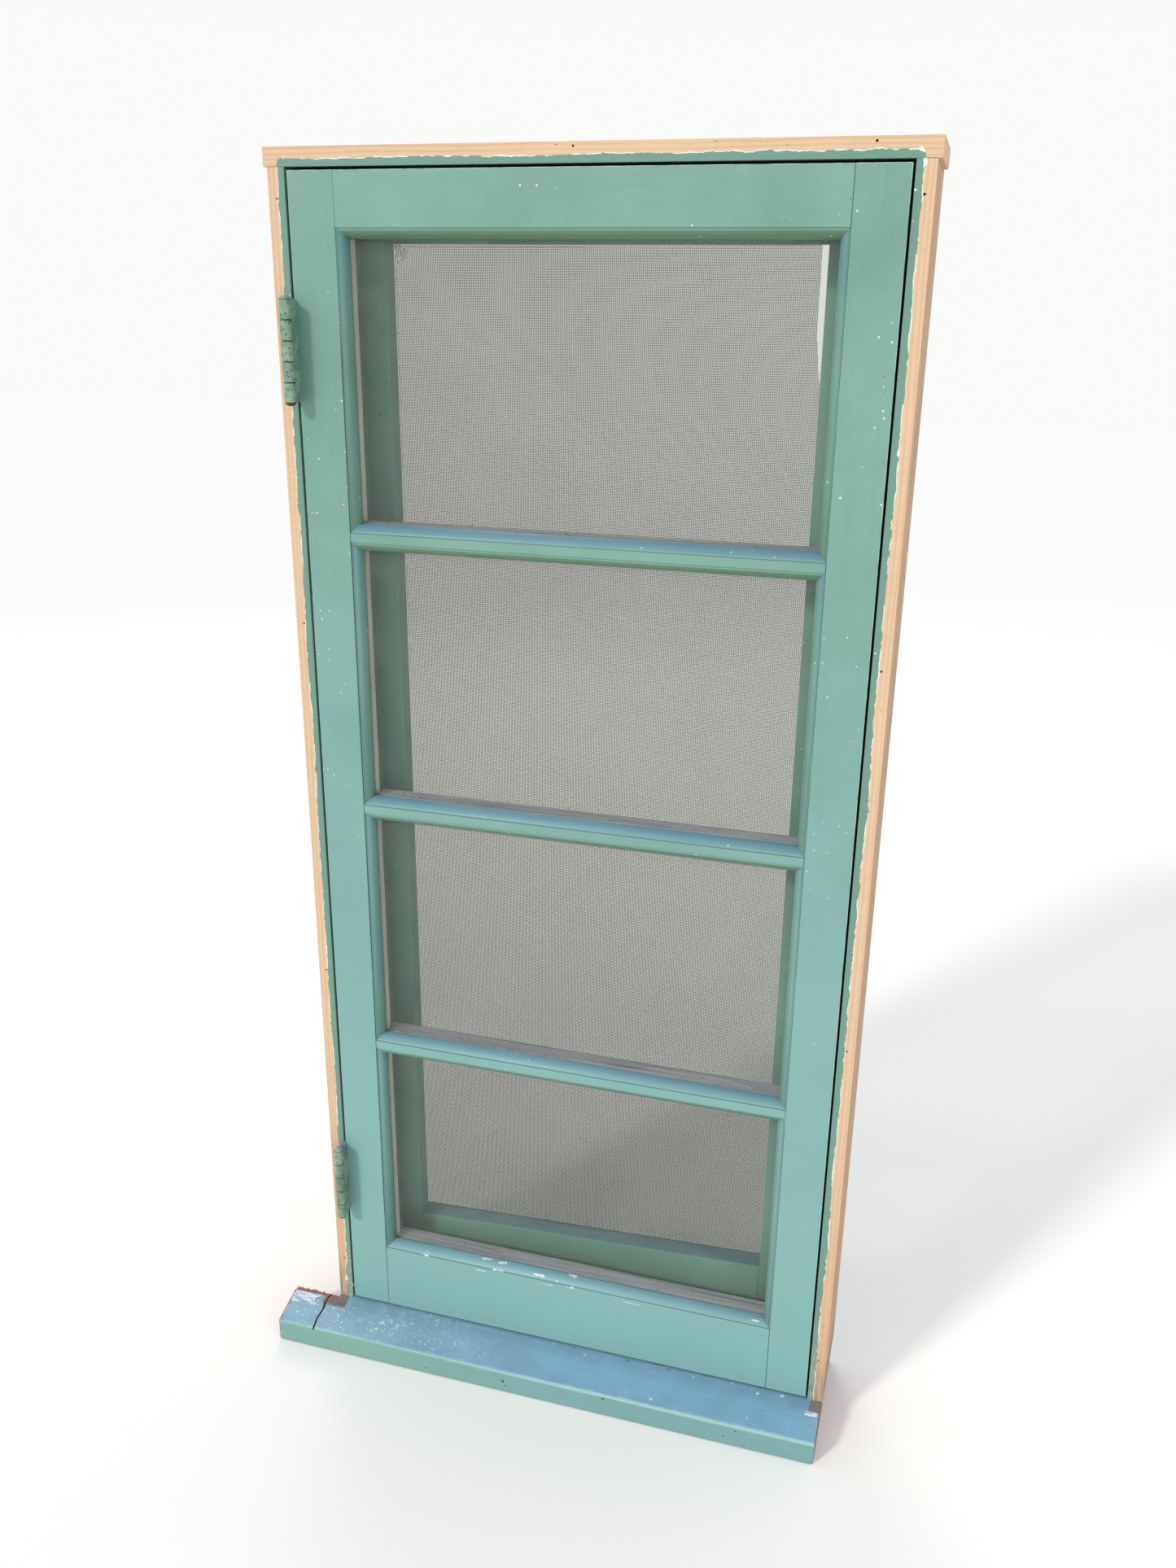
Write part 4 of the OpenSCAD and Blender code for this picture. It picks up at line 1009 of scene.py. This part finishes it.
def lathe(profile, centre, store, seed, lumps, rust, ring=False):
    """Turns (radius, height) points about Z into store, dented a little towards the axis.

    A ring's profile closes on itself, and its rims rust.
    """
    vertices, faces, rusty = store
    around = 28
    start = len(vertices)
    for row, (radius, height) in enumerate(profile):
        rim = 1.0 if ring and min(row, len(profile) - 1 - row) < 3 else rust
        for k in range(around):
            angle = 2 * math.pi * k / around
            place = (math.cos(angle) * 2.2, math.sin(angle) * 2.2, height * 160 + seed)
            dent = lumps * (0.5 + 0.5 * noise.noise(place))
            dent += lumps * 1.2 * max(0.0, noise.noise([c * 2.7 for c in place]) - 0.35)
            r = max(radius - dent, 0.0)
            x, y = centre[0] + r * math.cos(angle), centre[1] + r * math.sin(angle)
            vertices.append((x, y, centre[2] + height))
            rusty.append(rim)
    skin(start, len(profile), around, faces, "join" if ring else "capped")


def plate(low, high, store, seed, edge=0.45 * MM):
    """A block with small rounded edges, and corners that stand a little in or out along X"""
    vertices, faces, rusty = store
    shape = bmesh.new()
    bmesh.ops.create_cube(shape, size=1.0)
    size = [high[k] - low[k] for k in range(3)]
    centre = [(high[k] + low[k]) / 2 for k in range(3)]
    for v in shape.verts:
        v.co = Vector([centre[k] + v.co[k] * size[k] for k in range(3)])
    bmesh.ops.bevel(shape, geom=shape.edges, offset=edge, segments=2, profile=0.5,
                    affect="EDGES", clamp_overlap=True)
    start = len(vertices)
    for v in shape.verts:
        place = [c * 140 + seed for c in v.co]
        v.co.x -= 0.08 * MM * noise.noise(place) * (1 if v.co.x > centre[0] else -1)
        vertices.append(tuple(v.co))
        rusty.append(0.0)
    shape.verts.index_update()
    for f in shape.faces:
        faces.append(tuple(start + v.index for v in f.verts))
    shape.free()


def knuckle_profile(length):
    """One knuckle of a barrel, bored for its pin, with rounded rims"""
    half = length / 2 - KNUCKLE_GAP / 2
    rim = 0.7 * MM
    low = [(BORE_R, -half), (barrel_r - rim, -half), (barrel_r - 0.25 * rim, -half + 0.3 * rim),
           (barrel_r, -half + rim)]
    straight = [(barrel_r, -half + rim + (2 * half - 2 * rim) * i / 8) for i in range(1, 8)]
    return low + straight + [(r, -h) for r, h in reversed(low)]


def leaf_mesh(side, first):
    """Both hinges' leaves on one side, 1 the sash or -1 the jamb, and every second knuckle"""
    store = ([], [], [])
    knuckle_l = leaf_h / KNUCKLES
    far_x = pin_x + side * LEAF_X
    near_x = far_x - side * LEAF_T
    xs = (min(far_x, near_x), max(far_x, near_x))
    for z in hinge_middles:
        for i in range(first, KNUCKLES, 2):
            low_z = z - leaf_h / 2 + i * knuckle_l
            tip = 0.35 if i in (0, KNUCKLES - 1) else 0.0
            centre = (pin_x, pin_y, low_z + knuckle_l / 2)
            lathe(knuckle_profile(knuckle_l), centre, store, z + i, 0.3 * MM, tip, True)
            # The web that joins the knuckle to its leaf
            plate((xs[0], pin_y + 3.9 * MM, low_z + KNUCKLE_GAP / 2),
                  (xs[1], pin_y + 7.3 * MM, low_z + knuckle_l - KNUCKLE_GAP / 2), store, z,
                  0.2 * MM)
        plate((xs[0], pin_y + barrel_r + 0.8 * MM, z - leaf_h / 2),
              (xs[1], hinge_high.y, z + leaf_h / 2), store, z + 2)
    return store


def hinge_mesh(store):
    vertices, faces, rusty = store
    mesh = mesh_from(vertices, faces, {"rust": rusty})
    smooth(mesh)
    return mesh


def add_hinges():
    add_piece("sash_hinge_worn", hinge_mesh(leaf_mesh(1, 1)), iron, "sash",
              ["sash_hinge_leaves"])
    add_piece("jamb_hinge_worn", hinge_mesh(leaf_mesh(-1, 0)), iron, "frame",
              ["jamb_hinge_leaves"])
    store = ([], [], [])
    tip = barrel_r - 0.7 * MM
    cap_h = 3.3 * MM
    cap = [(tip * math.cos(a), cap_h * math.sin(a)) for a in (0.0, 0.35, 0.7, 1.05, 1.35)]
    for z in hinge_middles:
        top = [(PIN_R, -2 * MM)] + cap
        lathe(top, (pin_x, pin_y, z + leaf_h / 2), store, z, 0.25 * MM, 0.1)
        bottom = [(r, -h) for r, h in reversed(top)]
        lathe(bottom, (pin_x, pin_y, z - leaf_h / 2), store, z + 3, 0.25 * MM, 0.9)
        shaft = [(PIN_R, -leaf_h / 2 + MM), (PIN_R, leaf_h / 2 - MM)]
        lathe(shaft, (pin_x, pin_y, z), store, z, 0.0, 0.5)
    add_piece("hinge_pins_worn", hinge_mesh(store), iron, "frame", ["hinge_pins"])


# ---------- woven wire ----------

wire_low, wire_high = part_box("screen_mesh")
screen_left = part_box("screen_hinge_stile")[1].x
screen_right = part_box("screen_latch_stile")[0].x
# The bottom rail's upper edge climbs this much from stile to stile
RAIL_RISE = 23 * MM
wire_rise = RAIL_RISE * (wire_high.x - wire_low.x) / (screen_right - screen_left)


def wire_edge(z):
    """Where the wires end at the right: they stop short of the stile near the top"""
    pulled = 28 * MM * step(z, 1.10, 1.31)
    return wire_high.x - pulled - 1.2 * MM * noise.noise((z * 60, 0, 0))


def wire_foot(x):
    """Lowest point of the wires at x, which follows the screen's sloping bottom rail"""
    return wire_low.z + wire_rise * (x - wire_low.x) / (wire_high.x - wire_low.x)


def prism(low, high, store):
    """A straight bar between two opposite corners"""
    corners = ((low[1], low[2]), (high[1], low[2]), (high[1], high[2]), (low[1], high[2]))
    tube([[(x, y, z) for y, z in corners] for x in (low[0], high[0])], store)


def add_wire():
    """Upright wires in front and level wires behind, which bite into each other as they cross"""
    low, high = wire_low, wire_high
    thick = 0.42 * MM
    upright_pitch = 1.41 * MM
    level_pitch = 1.59 * MM
    store = ([], [])
    count = int((high.x - low.x) / upright_pitch)
    for i in range(count + 1):
        x = low.x + thick / 2 + (high.x - low.x - thick) * i / count
        x += 0.08 * MM * noise.noise((i * 0.7, 1.0, 0.0))
        top = high.z
        while top > 1.0 and x > wire_edge(top):
            top -= 4 * MM
        foot = wire_foot(x)
        prism((x - thick / 2, low.y, foot), (x + thick / 2, low.y + thick, top), store)
    count = int((high.z - low.z) / level_pitch)
    for i in range(count + 1):
        z = low.z + thick / 2 + (high.z - low.z - thick) * i / count
        z += 0.08 * MM * noise.noise((i * 0.7, 5.0, 0.0))
        far = min(wire_edge(z), high.x)
        if z < low.z + wire_rise:
            far = low.x + (z - low.z) / wire_rise * (high.x - low.x)
        prism((low.x, high.y - thick, z - thick / 2), (far, high.y, z + thick / 2), store)
    add_piece("woven_wire", mesh_from(*store), wire, "screen",
              ["screen_mesh"])


def thread(route, y, radius, store):
    """A thin square thread through (x, z) points at one depth"""
    upright = abs(route[-1][1] - route[0][1]) > abs(route[-1][0] - route[0][0])
    rings = []
    for x, z in route:
        ring = []
        for a, b in ((-1, -1), (1, -1), (1, 1), (-1, 1)):
            aside, above = (a * radius, 0.0) if upright else (0.0, a * radius)
            ring.append((x + aside, y + b * radius, z + above))
        rings.append(ring)
    tube(rings, store)


def add_frayed_corner():
    """Lint at the screen's top left corner, and loose threads down its left and along its top"""
    pick = random.Random(21)
    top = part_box("screen_top_rail")[0].z
    plane = wire_low.y
    roots = []
    for _ in range(46):
        x = screen_left + pick.uniform(1, 15) * MM
        z = top - pick.uniform(1, 16) * MM
        reach = pick.uniform(3, 10) * MM
        roots.append(((x, plane - 0.3 * MM, z), reach, pick.uniform(0.25, 0.65) * MM))
    depths = (plane - 4 * MM, plane - 0.2 * MM)
    mesh = fibre_mesh(roots, 33, 9, (-0.3, 0.1), 0.06, 0.8, depths)
    add_piece("frayed_wire", mesh, pale_fibre, "screen")
    down = []
    for i in range(150):
        sway = 2.2 + 1.1 * noise.noise((i * 0.9, 1.0, 7.0))
        down.append((screen_left + sway * MM, top - (14 + 3 * i) * MM))
    across = []
    for i in range(68):
        sway = 2.6 + 0.7 * noise.noise((i * 0.4, 4.0, 1))
        across.append((screen_left + (12 + 3 * i) * MM, top - sway * MM))
    store = ([], [])
    for route in (down, across):
        thread(route, plane - 0.25 * MM, 0.22 * MM, store)
    add_piece("wire_selvedge", mesh_from(*store), pale_fibre, "screen")


def add_pane_dirt():
    """Dust and crumbs caught on the ledge at the foot of each pane, thickest at the left"""
    hidden_edge = 9.6 * MM
    spread = 480 * MM
    pick = random.Random(11)
    vertices = []
    faces = []
    for k in (1, 2, 3, 4):
        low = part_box(f"pane_{k}")[0]
        foot = low.z + hidden_edge
        for _ in range(34):
            x = low.x + 10 * MM + spread * pick.random() ** 3.2
            size = pick.uniform(0.4, 1.3) * MM
            z = foot + size * 0.4 + 3 * MM * pick.random() ** 4
            centre = Vector((x, low.y - size * 0.7, z))
            start = len(vertices)
            for a, b, c in ((1, 0, 0), (-1, 0, 0), (0, 1, 0), (0, -1, 0), (0, 0, 1), (0, 0, -1)):
                scale = size * pick.uniform(0.5, 1.2)
                vertices.append(centre + Vector((a, b * 0.6, c)) * scale)
            for f in ((0, 2, 4), (2, 1, 4), (1, 3, 4), (3, 0, 4), (2, 0, 5), (1, 2, 5), (3, 1, 5),
                      (0, 3, 5)):
                faces.append(tuple(start + i for i in f))
    add_piece("pane_dirt", mesh_from(vertices, faces), crumbs, "sash")


add_paint_films()
add_sill()
add_hinges()
add_wire()
add_frayed_corner()
add_pane_dirt()


# ---------- stage ----------

def add_floor():
    mesh = bpy.data.meshes.new("floor")
    reach = 14.0
    corners = [(-reach, -reach, 0), (reach, -reach, 0), (reach, reach, 0), (-reach, reach, 0)]
    mesh.from_pydata(corners, [], [(0, 1, 2, 3)])
    floor = new_object("floor", mesh)
    s = Shader("pale_floor", 0.9)
    mesh.materials.append(s.finish(srgb(233, 231, 228)))


def add_lamp(name, kind, place, power, colour, **settings):
    """A lamp that shines at the middle of the window"""
    lamp = bpy.data.lights.new(name, kind)
    lamp.energy = power
    lamp.color = colour
    for setting, value in settings.items():
        setattr(lamp, setting, value)
    holder = new_object(name, lamp)
    holder.location = place
    shine = Vector((0.0, 0.0, 0.75)) - Vector(place)
    holder.rotation_euler = shine.to_track_quat("-Z", "Y").to_euler()


def add_world():
    """Even pale surroundings, a little bluer overhead"""
    world = bpy.data.worlds.new("studio")
    world.use_nodes = True
    n = Nodes(world.node_tree)
    place = n.add("TexCoord", {}).outputs["Generated"]
    height = n.add("SeparateXYZ", {0: place}).outputs[Z]
    overhead = n.add("MapRange", {"Value": height, "From Min": 0.15}).outputs[0]
    background = n.tree.nodes["Background"].inputs
    n.put(background["Color"], n.mix(overhead, (1.0, 0.998, 0.99, 1.0), (0.86, 0.93, 1.0, 1.0)))
    n.put(background["Strength"], 0.96)
    bpy.context.scene.world = world


def add_camera():
    """The photograph's camera, solved from the window's straight edges"""
    camera = bpy.data.cameras.new("camera")
    camera.sensor_width = 36.0
    camera.lens = 30.56
    camera.clip_start = 0.05
    holder = new_object("camera", camera)
    forward = Vector((-0.2581, 0.9015, -0.3473)).normalized()
    up = Vector((-0.1073, 0.3306, 0.9377))
    right = forward.cross(up).normalized()
    up = right.cross(forward)
    turn = Matrix((right, up, -forward)).transposed().to_4x4()
    holder.matrix_world = Matrix.Translation((0.3905, -1.3111, 1.3297)) @ turn
    bpy.context.scene.camera = holder


add_floor()
add_world()
add_lamp("key", "SUN", (-1.5, -2.4, 2.5), 1.75, (1.0, 0.97, 0.92), angle=math.radians(8))
add_lamp("fill", "AREA", (2.8, -2.4, 1.4), 14.0, (1.0, 0.99, 0.97), shape="DISK", size=2.2)
add_lamp("back", "AREA", (-1.5, 3.0, 2.6), 30.0, (1.0, 0.98, 0.96), shape="DISK", size=2.0)
add_camera()
bpy.context.scene.view_settings.view_transform = "Standard"
